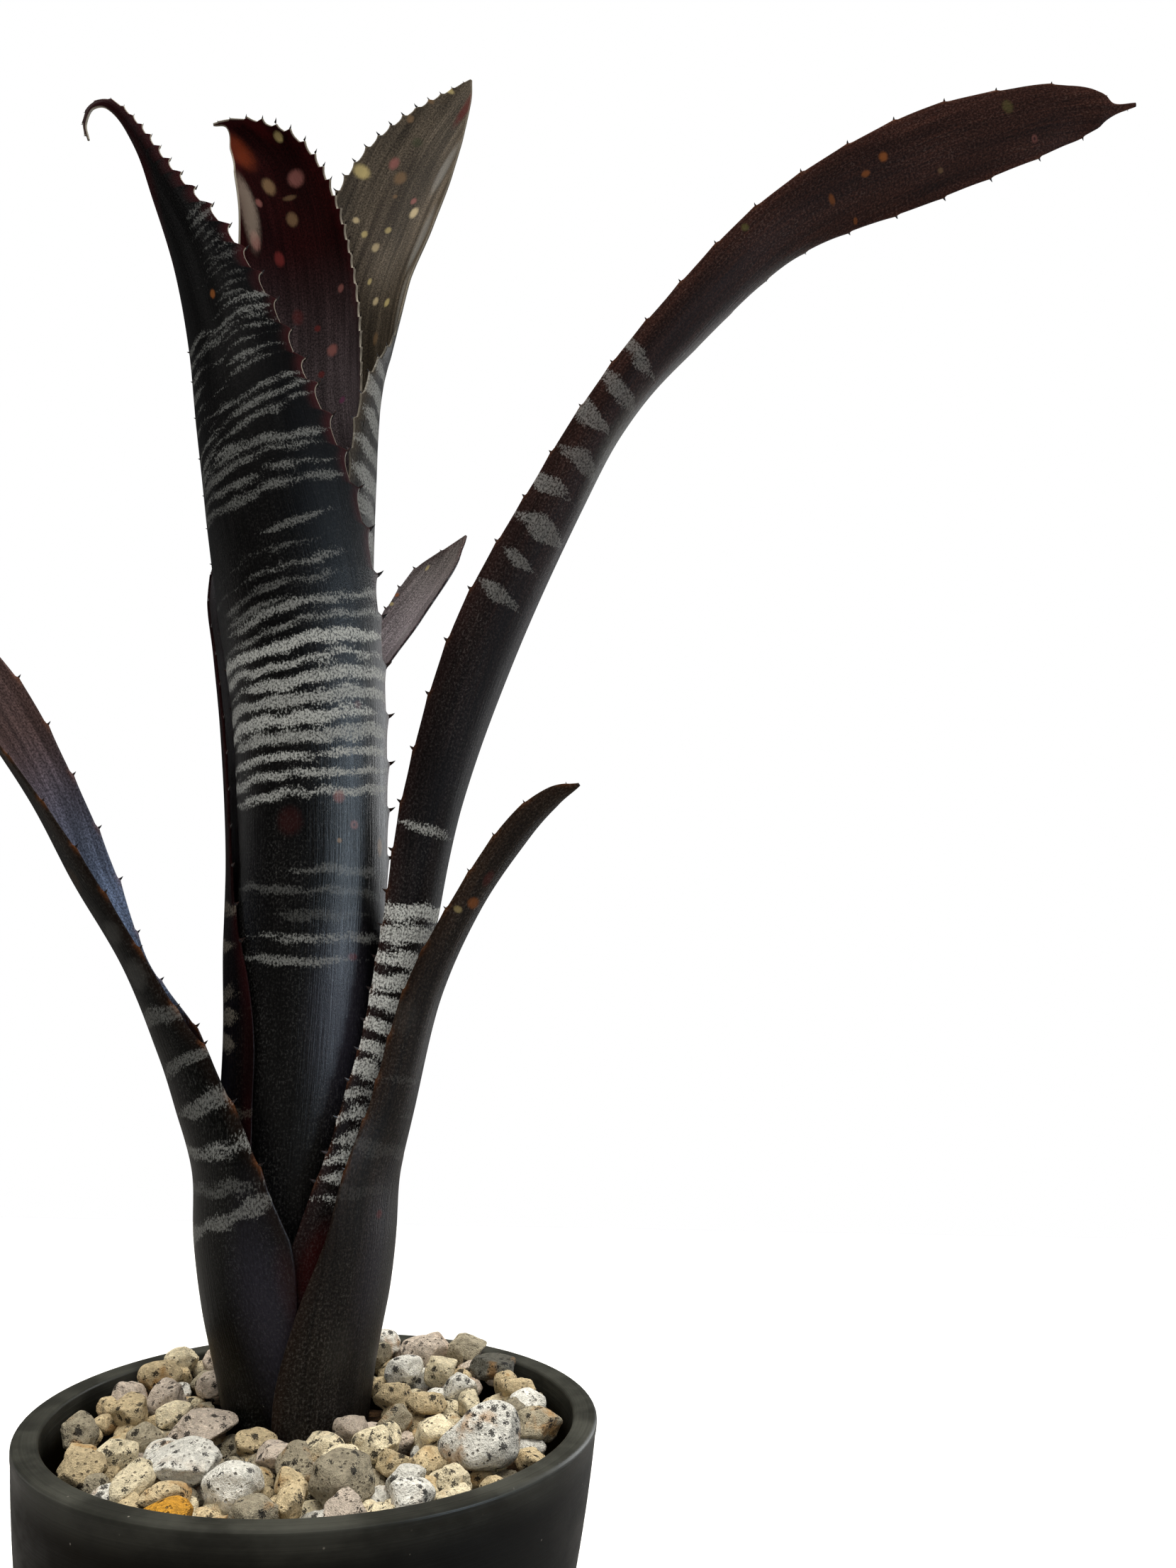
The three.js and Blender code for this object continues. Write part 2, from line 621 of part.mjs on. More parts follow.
/** The pumice layer as one body: a bed of gravel with the stones sunk in it, holed for the plant. */
function pumiceGeometry() {
  const foot = POT_HEIGHT - MIX_DEPTH + CLEARANCE;
  const top = POT_HEIGHT + STONE_LEVEL - BED_BELOW;
  const profile = [[0, foot], [cavityRadius(foot) - CLEARANCE, foot]];
  for (const share of BED_RINGS) profile.push([(cavityRadius(top) - CLEARANCE) * share, top]);
  profile.push([0, top]);
  const bed = turned(profile, POT_SIDES);
  const position = bed.getAttribute('position');
  for (let i = 0; i < position.count; i += 1) {
    if (position.getZ(i) > top - 0.1) {
      position.setZ(i, POT_HEIGHT + stoneLevel(position.getY(i)) - BED_BELOW);
    }
  }
  const draw = seededDraw(STONE_SEED + 1);
  const parts = [solidOf(bed)];
  for (const stone of stonePlaces()) parts.push(solidOf(stoneGeometry(stone, draw)));
  const plug = turned(PLANT_HOLE, PLANT_HOLE_SIDES, PLANT_X + PLANT_HOLE_SHIFT, PLANT_Y);
  plug.translate(0, 0, POT_HEIGHT);
  return geometryOf(wasm.Manifold.union(parts).subtract(solidOf(plug)));
}

const FINISHES = {
  pot: { color: 0x2e3131, roughness: 0.55 },
  mix: { color: 0x3a2b20, roughness: 0.95 },
  pumice: { color: 0xb9ae97, roughness: 0.9 },
  stem: { color: 0x6d6a45, roughness: 0.7 },
  leaf: { color: 0x2a1f23, roughness: 0.42 },
};

function namedMesh(name, geometry, finish) {
  const material = new THREE.MeshStandardMaterial({ ...FINISHES[finish], metalness: 0 });
  const mesh = new THREE.Mesh(geometry, material);
  mesh.name = name;
  return mesh;
}

const billbergia = new THREE.Group();
billbergia.add(namedMesh('pot', potGeometry(), 'pot'));
billbergia.add(namedMesh('potting_mix', mixGeometry(), 'mix'));
billbergia.add(namedMesh('pumice_topdressing', pumiceGeometry(), 'pumice'));
billbergia.add(namedMesh('stem', stemGeometry(), 'stem'));

const rosette = new THREE.Group();
rosette.position.set(PLANT_X, PLANT_Y, POT_HEIGHT);
for (const leaf of LEAVES) rosette.add(namedMesh(leaf.name, leafGeometry(leaf), 'leaf'));
billbergia.add(rosette);

export default billbergia;
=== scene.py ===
"""Looks of a potted billbergia: eight banded, spiny leaves over pumice in a charcoal pot.

Places are worked out in millimetres in the part's own frame and written to the meshes in metres.
The rosette has a frame of its own, whose origin is the middle of the plant at the level of the rim.
"""

import logging
import math
from dataclasses import dataclass, field
from enum import Enum

import bpy
import numpy as np
from mathutils import Matrix, Vector


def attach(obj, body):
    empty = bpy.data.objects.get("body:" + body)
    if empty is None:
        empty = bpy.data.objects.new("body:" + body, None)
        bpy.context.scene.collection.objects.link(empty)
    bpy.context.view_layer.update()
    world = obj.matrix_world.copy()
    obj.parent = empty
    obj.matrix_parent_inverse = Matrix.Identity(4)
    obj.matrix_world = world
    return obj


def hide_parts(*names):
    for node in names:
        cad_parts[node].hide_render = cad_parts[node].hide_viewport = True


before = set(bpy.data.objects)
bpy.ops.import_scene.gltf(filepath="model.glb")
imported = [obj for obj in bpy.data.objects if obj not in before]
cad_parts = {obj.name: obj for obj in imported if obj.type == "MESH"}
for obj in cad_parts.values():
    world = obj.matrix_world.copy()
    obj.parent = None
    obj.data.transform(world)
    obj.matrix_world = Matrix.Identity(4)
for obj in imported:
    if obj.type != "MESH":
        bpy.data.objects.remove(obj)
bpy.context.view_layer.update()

LOG = logging.getLogger("billbergia")
Socket = bpy.types.NodeSocket
METRES = 0.001

# Pot, as in the part, with the mesh's columns and the cutters of its drain holes
RIM_RADIUS = 65.0
POT_HEIGHT = 112.0
WALL_TAPER = 0.0845
WALL_CURVE = 0.0968
RIM_WALL = 5.6
BASE_WALL = 4.2
FLOOR_THICKNESS = 5.0
LIP_DEPTH = 2.2
LIP_ROUND = 1.0
FOOT_ROUND = 1.8
DRAIN_HOLES = 6
DRAIN_RADIUS = 4.0
DRAIN_CIRCLE = 21.0
CUTTER_SIDES = 32
CUTTER_REACH = 6.0
POLE_RADIUS = 0.4
POT_COLUMNS = 192

# Stones: level against the rim in front, rise towards the back and the Y values it runs between
STONE_LEVEL = -4.0
STONE_RISE = 5.0
RISE_FROM = -20.0
RISE_TO = 50.0

# Radius of the ring of stones, and of the clear place round the plant
STONE_RING = 57.0
PLANT_RING = 22.5

# Blades: foot of the rosette, half a blade's thickness, round of its margins, least half width
# and least half curl
PLANT_PLACE = (-8.0, 12.5, POT_HEIGHT)
HALF_THICKNESS = 0.4
MARGIN_ROUND = 0.7
LEAST_WIDTH = 0.4
LEAST_CURL = 2.0

# Meshes of the blades: spacing and length of the rows under the stones and at the tip, columns,
# places on the midrib for each of its rows and spacing of the table of spines
HIDDEN_STEP = 3.0
HIDDEN_LENGTH = 10.0
TIP_STEP = 0.35
TIP_LENGTH = 8.0
COLUMNS = 37
MIDRIB_PLACES = 40
TABLE_STEP = 0.5

# Notches: half width from which they are full, share at the tip, lengths over which they begin
# and end, share of a scallop that its steep side takes, power of its other side
NOTCH_WIDTH = 9.0
NOTCH_LEAST = 0.12
NOTCH_START = 12.0
NOTCH_END = 10.0
NOTCH_STEEP = 0.07
NOTCH_POWER = 3.5

# Lengths over which a groove in a blade begins and ends
GROOVE_START = 30.0
GROOVE_END = 15.0

# Marks: depth outside all bands, pale tone of the edges, reach and full core of a spot
DEEP_OUTSIDE = 3.0
EDGE_TONE = 0xBDB6A6
SPOT_REACH = 0.72
SPOT_CORE = 0.62

# Spines: rings and sides, depth of the foot in the blade, bend, half sizes of the section, and how
# far the warm colour at their roots reaches
SPINE_RINGS = 7
SPINE_SIDES = 8
SPINE_SUNK = 0.7
SPINE_BEND = 0.55
SPINE_ALONG = 0.8
SPINE_ACROSS = 0.28
ROOT_ALONG = 3.0
ROOT_ACROSS = 1.3

# The rosette's tube: level, place of the axis, radius of the innermost sheath, step between sheaths
TUBE = (
    (-14, 0.5, 5.4, 1.5),
    (0, -0.8, 6.7, 1.62),
    (28, -2.8, 11.4, 1.8),
    (50, -2.9, 13.5, 1.82),
    (75, -2.6, 14.6, 1.75),
    (100, -2.6, 15.2, 1.7),
    (150, -3.4, 15.8, 1.65),
    (200, -10.3, 16.8, 1.7),
)

# Levels of the rows that make up a sheath
SHEATH_LEVELS = (-12, 4, 20, 36, 52, 68, 84, 100, 116, 132, 150, 175, 200)


def tone(code: int) -> tuple[float, float, float, float]:
    """Linear colour of a display colour: ((c + 0.055) / 1.055) ** 2.4 for each channel.

    Args:
        code: the display colour as 0xRRGGBB.

    Returns:
        Red, green, blue and an alpha of 1.
    """
    shares = [((code >> shift) & 255) / 255 for shift in (16, 8, 0)]
    linear = [((c + 0.055) / 1.055) ** 2.4 if c > 0.04045 else c / 12.92 for c in shares]
    return (*linear, 1.0)


def smooth(value: np.ndarray, low: float, high: float) -> np.ndarray:
    """Smooth step 3t^2 - 2t^3 with t = (value - low) / (high - low), held to 0..1."""
    share = np.clip((value - low) / (high - low), 0.0, 1.0)
    return share * share * (3.0 - 2.0 * share)


# Node graphs


class Graph:
    """A material's node tree, with short calls for the nodes that the finishes use."""

    def __init__(self, name: str) -> None:
        """Starts a material with one shader joined to its output.

        Args:
            name: name of the material.
        """
        self.material = bpy.data.materials.new(name)
        self.material.use_nodes = True
        self.tree = self.material.node_tree
        self.tree.nodes.clear()
        self.shader = self.node("ShaderNodeBsdfPrincipled", {})
        self.node("ShaderNodeOutputMaterial", {"Surface": self.shader.outputs["BSDF"]})

    def put(self, socket: Socket, value: object) -> None:
        """Links a socket to another one, or sets its own value.

        Args:
            socket: the input to feed.
            value: the output that feeds it, or a plain value.
        """
        if isinstance(value, Socket):
            self.tree.links.new(value, socket)
        else:
            socket.default_value = value

    def node(self, kind: str, inputs: dict[str | int, object], **settings: object) -> bpy.types.Node:
        """Adds a node to the tree.

        Args:
            kind: type of the node.
            inputs: what its sockets take, by their names or numbers.
            settings: its own settings, which are made before the sockets are fed.

        Returns:
            The node.
        """
        node = self.tree.nodes.new(kind)
        for name, setting in settings.items():
            setattr(node, name, setting)
        for key, value in inputs.items():
            self.put(node.inputs[key], value)
        return node

    def attribute(self, name: str, output: str = "Fac") -> Socket:
        """A number, or with the output "Color" a colour, that the mesh carries at its vertices."""
        return self.node("ShaderNodeAttribute", {}, attribute_name=name).outputs[output]

    def place(self) -> Socket:
        """Object coordinates in millimetres."""
        return self.scaled(self.node("ShaderNodeTexCoord", {}).outputs["Object"], 1 / METRES)

    def scaled(self, vector: Socket, scale: float | tuple, shift: tuple = (0, 0, 0)) -> Socket:
        """A vector times a scale, which is one number or one for each axis, plus a shift."""
        inputs = {"Vector": vector, "Scale": np.broadcast_to(scale, 3).tolist(), "Location": shift}
        return self.node("ShaderNodeMapping", inputs).outputs["Vector"]

    def joined(self, x: object, y: object, z: object = 0.0) -> Socket:
        """A vector from three numbers."""
        return self.node("ShaderNodeCombineXYZ", {"X": x, "Y": y, "Z": z}).outputs["Vector"]

    def split(self, vector: Socket) -> tuple[Socket, ...]:
        """The three numbers of a vector."""
        return tuple(self.node("ShaderNodeSeparateXYZ", {"Vector": vector}).outputs)

    def noise(self, vector: Socket, scale: float | tuple, detail: float = 2.0, rough: float = 0.5) -> Socket:
        """Fractal noise of the scaled vector, about 0.5 in the middle."""
        inputs = {"Vector": self.scaled(vector, scale), "Scale": 1.0, "Detail": detail, "Roughness": rough}
        return self.node("ShaderNodeTexNoise", inputs).outputs["Fac"]

    def cells(self, vector: Socket, scale: float | tuple) -> tuple[Socket, Socket]:
        """Distance to the nearest random point of the scaled vector, and that point's random colour."""
        node = self.node("ShaderNodeTexVoronoi", {"Vector": self.scaled(vector, scale), "Scale": 1.0})
        return node.outputs["Distance"], node.outputs["Color"]

    def near(self, vector: Socket) -> Socket:
        """1 at the origin of the vector, falling evenly to 0 at a distance of 1."""
        node = self.node("ShaderNodeTexGradient", {"Vector": vector}, gradient_type="SPHERICAL")
        return node.outputs["Fac"]

    def math(self, kind: str, a: object, b: object) -> Socket:
        """One arithmetic step on two numbers."""
        return self.node("ShaderNodeMath", {0: a, 1: b}, operation=kind).outputs[0]

    def times(self, a: object, b: object) -> Socket:
        """The product of two numbers."""
        return self.math("MULTIPLY", a, b)

    def plus(self, a: object, b: object) -> Socket:
        """The sum of two numbers."""
        return self.math("ADD", a, b)

    def swing(self, noise: Socket, size: float) -> Socket:
        """How far a noise lies from its middle, times a size."""
        return self.times(self.math("SUBTRACT", noise, 0.5), size)

    def step(self, value: object, low: float, high: float, start: float = 0.0, end: float = 1.0) -> Socket:
        """Smooth step from start, where the value is low, to end, where it is high."""
        inputs = {"Value": value, "From Min": low, "From Max": high, "To Min": start, "To Max": end}
        return self.node("ShaderNodeMapRange", inputs, interpolation_type="SMOOTHSTEP").outputs["Result"]

    def mix(self, share: object, first: object, second: object) -> Socket:
        """A blend of two colours by a share."""
        inputs = {"Factor": share, "A": first, "B": second}
        return self.node("ShaderNodeMix", inputs, data_type="RGBA", clamp_factor=True).outputs["Result"]

    def shade(self, colour: object, amount: Socket) -> Socket:
        """A colour times a number, for each channel."""
        inputs = {0: colour, "Scale": amount}
        return self.node("ShaderNodeVectorMath", inputs, operation="SCALE").outputs["Vector"]

    def finish(self, colour: object, rough: object, height: object, depth: float, specular: float) -> None:
        """Sets the shader's sockets.

        Args:
            colour: base colour, a socket or a value.
            rough: roughness, a socket or a number.
            height: height of the fine relief, a socket.
            depth: how deep the relief is for a height of 1, in millimetres.
            specular: specular level, the same all over.
        """
        self.put(self.shader.inputs["Base Color"], colour)
        self.put(self.shader.inputs["Roughness"], rough)
        self.shader.inputs["Specular IOR Level"].default_value = specular
        relief = self.node("ShaderNodeBump", {"Distance": depth * METRES, "Strength": 1.0, "Height": height})
        self.put(self.shader.inputs["Normal"], relief.outputs["Normal"])


# Surfaces


@dataclass
class Surface:
    """Triangles with numbers at their vertices, gathered as whole arrays.

    Attributes:
        points: vertices in millimetres, N by 3.
        faces: vertex numbers, T by 3.
        slots: material slot of each face, T.
        numbers: named numbers at the vertices, N each, or N by 4 for a colour.
    """

    points: np.ndarray
    faces: np.ndarray
    slots: np.ndarray
    numbers: dict[str, np.ndarray] = field(default_factory=dict)

    @staticmethod
    def tube(rings: np.ndarray, slot: int = 0) -> "Surface":
        """A closed skin over rings of points, with a pole at each end.

        The skin joins point j of ring i to its neighbours j + 1 and i + 1, and the last point of a
        ring to the first. A pole lies at the mean of its end ring.

        Args:
            rings: M by K by 3 points.
            slot: material slot of the skin.

        Returns:
            The skin, whose vertices are the rings in order and then the two poles.
        """
        count, around = rings.shape[:2]
        points = np.vstack([rings.reshape(-1, 3), rings[0].mean(0), rings[-1].mean(0)])
        i, j = np.meshgrid(np.arange(count - 1), np.arange(around), indexing="ij")
        after = (j + 1) % around
        a, b = i * around + j, i * around + after
        c, d = (i + 1) * around + after, (i + 1) * around + j
        low = np.stack([a, b, c], -1).reshape(-1, 3)
        high = np.stack([a, c, d], -1).reshape(-1, 3)
        ring = np.arange(around)
        turned = (ring + 1) % around
        last = (count - 1) * around
        foot = np.stack([turned, ring, np.full(around, count * around)], -1)
        tip = np.stack([last + ring, last + turned, np.full(around, count * around + 1)], -1)
        faces = np.vstack([low, high, foot, tip])
        surface = Surface(points, faces, np.full(len(faces), slot))
        corners = points[faces]
        volume = np.einsum("ij,ij->", corners[:, 0], np.cross(corners[:, 1], corners[:, 2]))
        if volume < 0:
            surface.faces = faces[:, ::-1].copy()
        return surface

    def join(self, other: "Surface") -> "Surface":
        """This surface and another one as one, with 0 for a number that one of them lacks.

        Args:
            other: the surface to add.

        Returns:
            Both, with this one's vertices first.
        """
        numbers = {}
        for name in {**self.numbers, **other.numbers}:
            known = self.numbers.get(name, other.numbers.get(name))
            empty = [np.zeros((len(s.points), *known.shape[1:])) for s in (self, other)]
            numbers[name] = np.concatenate(
                [self.numbers.get(name, empty[0]), other.numbers.get(name, empty[1])]
            )
        return Surface(
            np.vstack([self.points, other.points]),
            np.vstack([self.faces, other.faces + len(self.points)]),
            np.concatenate([self.slots, other.slots]),
            numbers,
        )

    def build(self, name: str, materials: list, node: str, slot: str) -> bpy.types.Object:
        """Makes the object, lets it ride on the root and stand for its CAD node.

        Args:
            name: name of the piece.
            materials: its material slots.
            node: CAD node that it replaces.
            slot: not used.

        Returns:
            The new object.
        """
        mesh = bpy.data.meshes.new(name)
        mesh.vertices.add(len(self.points))
        mesh.vertices.foreach_set("co", (self.points * METRES).astype(np.float32).ravel())
        mesh.loops.add(self.faces.size)
        mesh.loops.foreach_set("vertex_index", self.faces.astype(np.int32).ravel())
        mesh.polygons.add(len(self.faces))
        mesh.polygons.foreach_set("loop_start", np.arange(0, self.faces.size, 3, dtype=np.int32))
        for material in materials:
            mesh.materials.append(material)
        mesh.polygons.foreach_set("material_index", self.slots.astype(np.int32))
        mesh.polygons.foreach_set("use_smooth", np.ones(len(self.faces), dtype=bool))
        mesh.update(calc_edges=True)
        for key, values in self.numbers.items():
            if values.ndim > 1:
                layer = mesh.attributes.new(key, "FLOAT_COLOR", "POINT")
                layer.data.foreach_set("color", values.astype(np.float32).ravel())
            else:
                layer = mesh.attributes.new(key, "FLOAT", "POINT")
                layer.data.foreach_set("value", values.astype(np.float32))
        piece = bpy.data.objects.new(name, mesh)
        bpy.context.scene.collection.objects.link(piece)
        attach(piece, "root")
        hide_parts(node)
        LOG.info("%s: %d triangles", name, len(self.faces))
        return piece


# Leaf finishes


class Mark(Enum):
    """Colours of the spots on the leaves."""

    PINK = 0x8E5A54
    TAN = 0x84694C
    YELLOW = 0xC4B27A
    CREAM = 0xC0AE88
    ORANGE = 0x96582A
    RED = 0x6A2624
    PURPLE = 0x6E3A58
    OLIVE = 0x6B6A3A
    GREEN = 0x2E3A22
    GREY = 0x8A8A86
    # colour of a painted highlight
    PEARL = 0x9C8C7E
    GLOW = 0x66260C
    BLOOD = 0x4C1010
    DARK = 0x14090A
    # colour of a painted bluish sheen
    DUSK = 0x4E4C5C


class Face(Enum):
    """The two faces of a leaf."""

    OUTER = "outer"
    INNER = "inner"


@dataclass(frozen=True)
class Spot:
    """A spot on a leaf.

    Attributes:
        along: distance of its middle from the foot, in millimetres.
        across: its distance from the midrib.
        length: its size along the leaf.
        breadth: its size across the leaf.
        mark: its colour.
        cover: how much of the ground it hides.
        face: the face it lies on.
        soft: whether it fades all the way from its middle, like a haze.
    """

    along: float
    across: float
    length: float
    breadth: float
    mark: Mark
    cover: float = 0.85
    face: Face = Face.OUTER
    soft: bool = False


def row(start: float, end: float, period: float) -> tuple[float, ...]:
    """Evenly spaced distances from start to end."""
    return tuple(np.arange(start, end + 0.01, period).tolist())


@dataclass(frozen=True)
class Bands:
    """Silver bands across a leaf's outer face.

    Attributes:
        middles: distances of the bands from the foot, in millimetres.
        width: how wide a band is along the leaf.
        strength: how silver the bands are.
        left: where across the leaf they begin.
        right: where across the leaf they end.
        slant: how far a band climbs for each millimetre across.
        ragged: how far widths, ends and strengths wander, in shares.
        bow: how far a band's ends sink, for a distance across of 10 mm.
        fade: length over which a band thins out towards its ends.
    """

    middles: tuple[float, ...]
    width: float
    strength: float
    left: float
    right: float
    slant: float = 0.0
    ragged: float = 0.3
    bow: float = 0.0
    fade: float = 7.0

    def cover(self, along: np.ndarray, across: np.ndarray, seed: int) -> tuple[np.ndarray, np.ndarray]:
        """How deep each vertex lies in a band, and how silver that band is.

        A band's depth is half (1 - past) - |along + waves - slant across + bow (across / 10)^2 - middle|,
        where past grows from 0 to 1 over the last stretch before an end, and the deepest band counts.
        The waves are 0.5 sin(0.21 across + 0.09 along + seed) and
        0.3 sin(0.63 across - 0.13 along + 2 seed).

        Args:
            along: distances from the foot.
            across: distances from the midrib.
            seed: seed of the wander.

        Returns:
            Depth in millimetres, from -DEEP_OUTSIDE where there is no band, and strength.
        """
        draw = np.random.default_rng(seed)
        depth = np.full(along.shape, -DEEP_OUTSIDE)
        strength = np.zeros(along.shape)
        waves = 0.5 * np.sin(0.21 * across + 0.09 * along + seed)
        waves += 0.3 * np.sin(0.63 * across - 0.13 * along + 2 * seed)
        lifted = along + waves - self.slant * across + self.bow * (across / 10.0) ** 2
        for middle in self.middles:
            wander = draw.uniform(-1.0, 1.0, 4) * self.ragged
            half = self.width / 2 * (1 + wander[0])
            left = self.left + 2.5 * self.fade * wander[1]
            right = self.right + 2.5 * self.fade * wander[2]
            past = 1.0 + np.maximum(left - across, across - right) / self.fade
            here = half * (1.0 - np.clip(past, 0.0, 3.0)) - np.abs(lifted - middle)
            strength = np.where(here > depth, self.strength * (1 + 0.7 * wander[3]), strength)
            depth = np.maximum(depth, here)
        return depth, strength


class Weave(Enum):
    """Noises over a leaf's skin: scale across and along it, detail and roughness."""

    VEIN = (2.6, 0.045, 3.0, 0.6)
    RAG = (2.1, 0.6, 3.0, 0.7)
    WAVE = (0.12, 0.3, 2.0, 0.5)
    GRAIN = (2.0, 1.5, 3.0, 0.7)
    CLOUD = (0.11, 0.028, 2.0, 0.5)
    STREAK = (0.55, 0.012, 2.0, 0.5)


class LeafGraph(Graph):
    """A leaf's node tree: the numbers that its mesh carries, and the noises over its skin."""

    def __init__(self, name: str, turn: tuple[float, float]) -> None:
        """Reads the mesh's numbers and lays the noises.

        Args:
            name: name of the material.
            turn: shares of the length between which the foot's ground gives way to the tip's.
        """
        super().__init__(name)
        self.skin = self.joined(self.attribute("across"), self.attribute("along"))
        self.outer = self.attribute("outer")
        self.reach = self.step(self.attribute("reach"), *turn)
        self.noises = {
            weave: self.noise(self.skin, (*weave.value[:2], 1.0), *weave.value[2:]) for weave in Weave
        }

    def over(self, weave: Weave, low: float, high: float, start: float = 0.0, end: float = 1.0) -> Socket:
        """Smooth step over one of the noises."""
        return self.step(self.noises[weave], low, high, start, end)


@dataclass(frozen=True)
class LeafFinish:
    """Colours and gloss of one leaf.

    Attributes:
        outer_low: ground of the outer face near the foot.
        outer_high: ground of the outer face near the tip.
        inner_low: ground of the inner face near the foot.
        inner_high: ground of the inner face near the tip.
        margin: tint that the last few millimetres take.
        tint: how strong that tint is.
        line: how pale the very edge is.
        silver: colour of the bands.
        speckle: how much silver dust lies between the bands.
        clean: share of that dust that is left near the tip.
        streaks: how much the ground varies in long streaks.
        turn: shares of the length between which the foot's ground gives way to the tip's.
        gloss: roughness of the ground.
        specular: specular level of the skin.
        warm: colour at the roots of the spines.
        warmth: how strong that colour is.
    """

    outer_low: int = 0x161313
    outer_high: int = 0x191315
    inner_low: int = 0x151011
    inner_high: int = 0x181213
    margin: int = 0x3A1214
    tint: float = 0.4
    line: float = 0.0
    silver: int = 0xC2C4C0
    speckle: float = 0.05
    clean: float = 1.0
    streaks: float = 0.3
    turn: tuple[float, float] = (0.0, 1.0)
    gloss: float = 0.38
    specular: float = 0.12
    warm: int = 0xA4602A
    warmth: float = 0.0

    def material(self, name: str, spots: tuple[Spot, ...]) -> bpy.types.Material:
        """The leaf's skin: ground, streaks, silver bands, spots, margin and vein relief.

        Args:
            name: name of the material.
            spots: the spots on this leaf.

        Returns:
            The material, which reads the numbers that the leaf's mesh carries.
        """
        g = LeafGraph(name, self.turn)
        cover = self.silvered(g)
        colour = g.mix(cover, self.ground(g), tone(self.silver))
        for spot in spots:
            colour = self.spotted(g, colour, spot)
        colour = self.rimmed(g, colour)
        rough = g.plus(g.step(cover, 0.0, 1.0, self.gloss, 0.68), g.over(Weave.VEIN, 0.3, 0.7, -0.05, 0.06))
        height = g.plus(g.times(g.noises[Weave.VEIN], 0.65), g.times(g.noises[Weave.GRAIN], 0.35))
        g.finish(colour, rough, height, 0.2, self.specular)
        return g.material

    def ground(self, g: LeafGraph) -> Socket:
        """The ground of both faces, shaded in long streaks, clouds, veins and fine grain.

        Args:
            g: the leaf's graph.

        Returns:
            The colour.
        """
        outside = g.mix(g.reach, tone(self.outer_low), tone(self.outer_high))
        inside = g.mix(g.reach, tone(self.inner_low), tone(self.inner_high))
        ground = g.mix(g.outer, inside, outside)
        shades = (
            (Weave.STREAK, 0.32, 0.7, 1.0 - self.streaks, 1.0 + 1.4 * self.streaks),
            (Weave.CLOUD, 0.3, 0.7, 0.72, 1.3),
            (Weave.VEIN, 0.35, 0.68, 0.8, 1.22),
            (Weave.GRAIN, 0.36, 0.66, 0.5, 1.8),
        )
        for shade in shades:
            ground = g.shade(ground, g.over(*shade))
        return ground

    def silvered(self, g: LeafGraph) -> Socket:
        """Where silver covers the ground: bands with frayed edges, and dust between them.

        A band's edge wanders by three noises, the bands are worn along grain and veins, and the
        dust lies in patches on the outer face and thins out towards the tip.

        Args:
            g: the leaf's graph.

        Returns:
            The cover from 0 to 1.
        """
        rag, wave, grain = (g.noises[weave] for weave in (Weave.RAG, Weave.WAVE, Weave.GRAIN))
        wander = g.plus(g.plus(g.swing(rag, 3.2), g.swing(wave, 4.0)), g.swing(grain, 5.0))
        depth = g.plus(g.attribute("band"), wander)
        bands = g.times(g.step(depth, -0.2, 1.0), g.over(Weave.GRAIN, 0.38, 0.58, 0.2, 1.0))
        bands = g.times(bands, g.over(Weave.VEIN, 0.34, 0.44, 0.55, 1.0))
        bands = g.times(bands, g.attribute("silver"))
        dust = g.times(g.over(Weave.GRAIN, 0.47, 0.66), g.over(Weave.RAG, 0.38, 0.6))
        dust = g.times(dust, g.over(Weave.CLOUD, 0.35, 0.65, 0.3 * self.speckle, self.speckle))
        dust = g.times(dust, g.step(g.reach, 0.45, 0.75, 1.0, self.clean))
        return g.math("MAXIMUM", bands, g.times(dust, g.outer))

    @staticmethod
    def spotted(g: LeafGraph, colour: Socket, spot: Spot) -> Socket:
        """Lays one spot over a colour: an ellipse about its middle with a frayed, soft edge.

        With n falling from 1 at the middle to 0 at SPOT_REACH times the length or the breadth, the
        cover grows smoothly from n = 0.05 to n = SPOT_CORE, or to the very middle for a haze.

        Args:
            g: the leaf's graph.
            colour: what lies under the spot.
            spot: the spot.

        Returns:
            The colour with the spot.
        """
        scale = (1 / (SPOT_REACH * spot.breadth), 1 / (SPOT_REACH * spot.length), 1.0)
        shift = (-spot.across * scale[0], -spot.along * scale[1], 0.0)
        fray = g.over(Weave.RAG, 0.3, 0.7, 0.78, 1.22)
        near = g.times(g.near(g.scaled(g.skin, scale, shift)), fray)
        full = 1.0 if spot.soft else SPOT_CORE
        cover = g.times(g.step(near, 0.05, full), spot.cover)
        side = g.outer if spot.face is Face.OUTER else g.math("SUBTRACT", 1.0, g.outer)
        return g.mix(g.times(cover, side), colour, tone(spot.mark.value))

    def rimmed(self, g: LeafGraph, colour: Socket) -> Socket:
        """Lays the margin's tint, warm spine roots, the pale edge and sparse pale flecks over a colour.

        Args:
            g: the leaf's graph.
            colour: what lies under them.

        Returns:
            The colour with them.
        """
        edge = g.attribute("edge")
        rim = g.times(g.step(edge, 0.2, 4.5, 1.0, 0.0), g.over(Weave.CLOUD, 0.3, 0.6, 0.3, 1.0))
        colour = g.mix(g.times(rim, self.tint), colour, tone(self.margin))
        if self.warmth:
            warm = g.times(g.attribute("root"), self.warmth)
            warm = g.times(warm, g.over(Weave.GRAIN, 0.3, 0.6, 0.5, 1.0))
            colour = g.mix(warm, colour, tone(self.warm))
        if self.line:
            line = g.times(g.step(edge, 0.15, 0.5, 1.0, 0.0), self.line)
            colour = g.mix(line, colour, tone(EDGE_TONE))
        fleck, which = g.cells(g.skin, (0.1, 0.1, 1.0))
        chosen = g.step(g.split(which)[0], 0.82, 0.84)
        fleck = g.times(g.step(fleck, 0.012, 0.026, 1.0, 0.0), chosen)
        return g.mix(g.times(fleck, 0.35), colour, tone(EDGE_TONE))


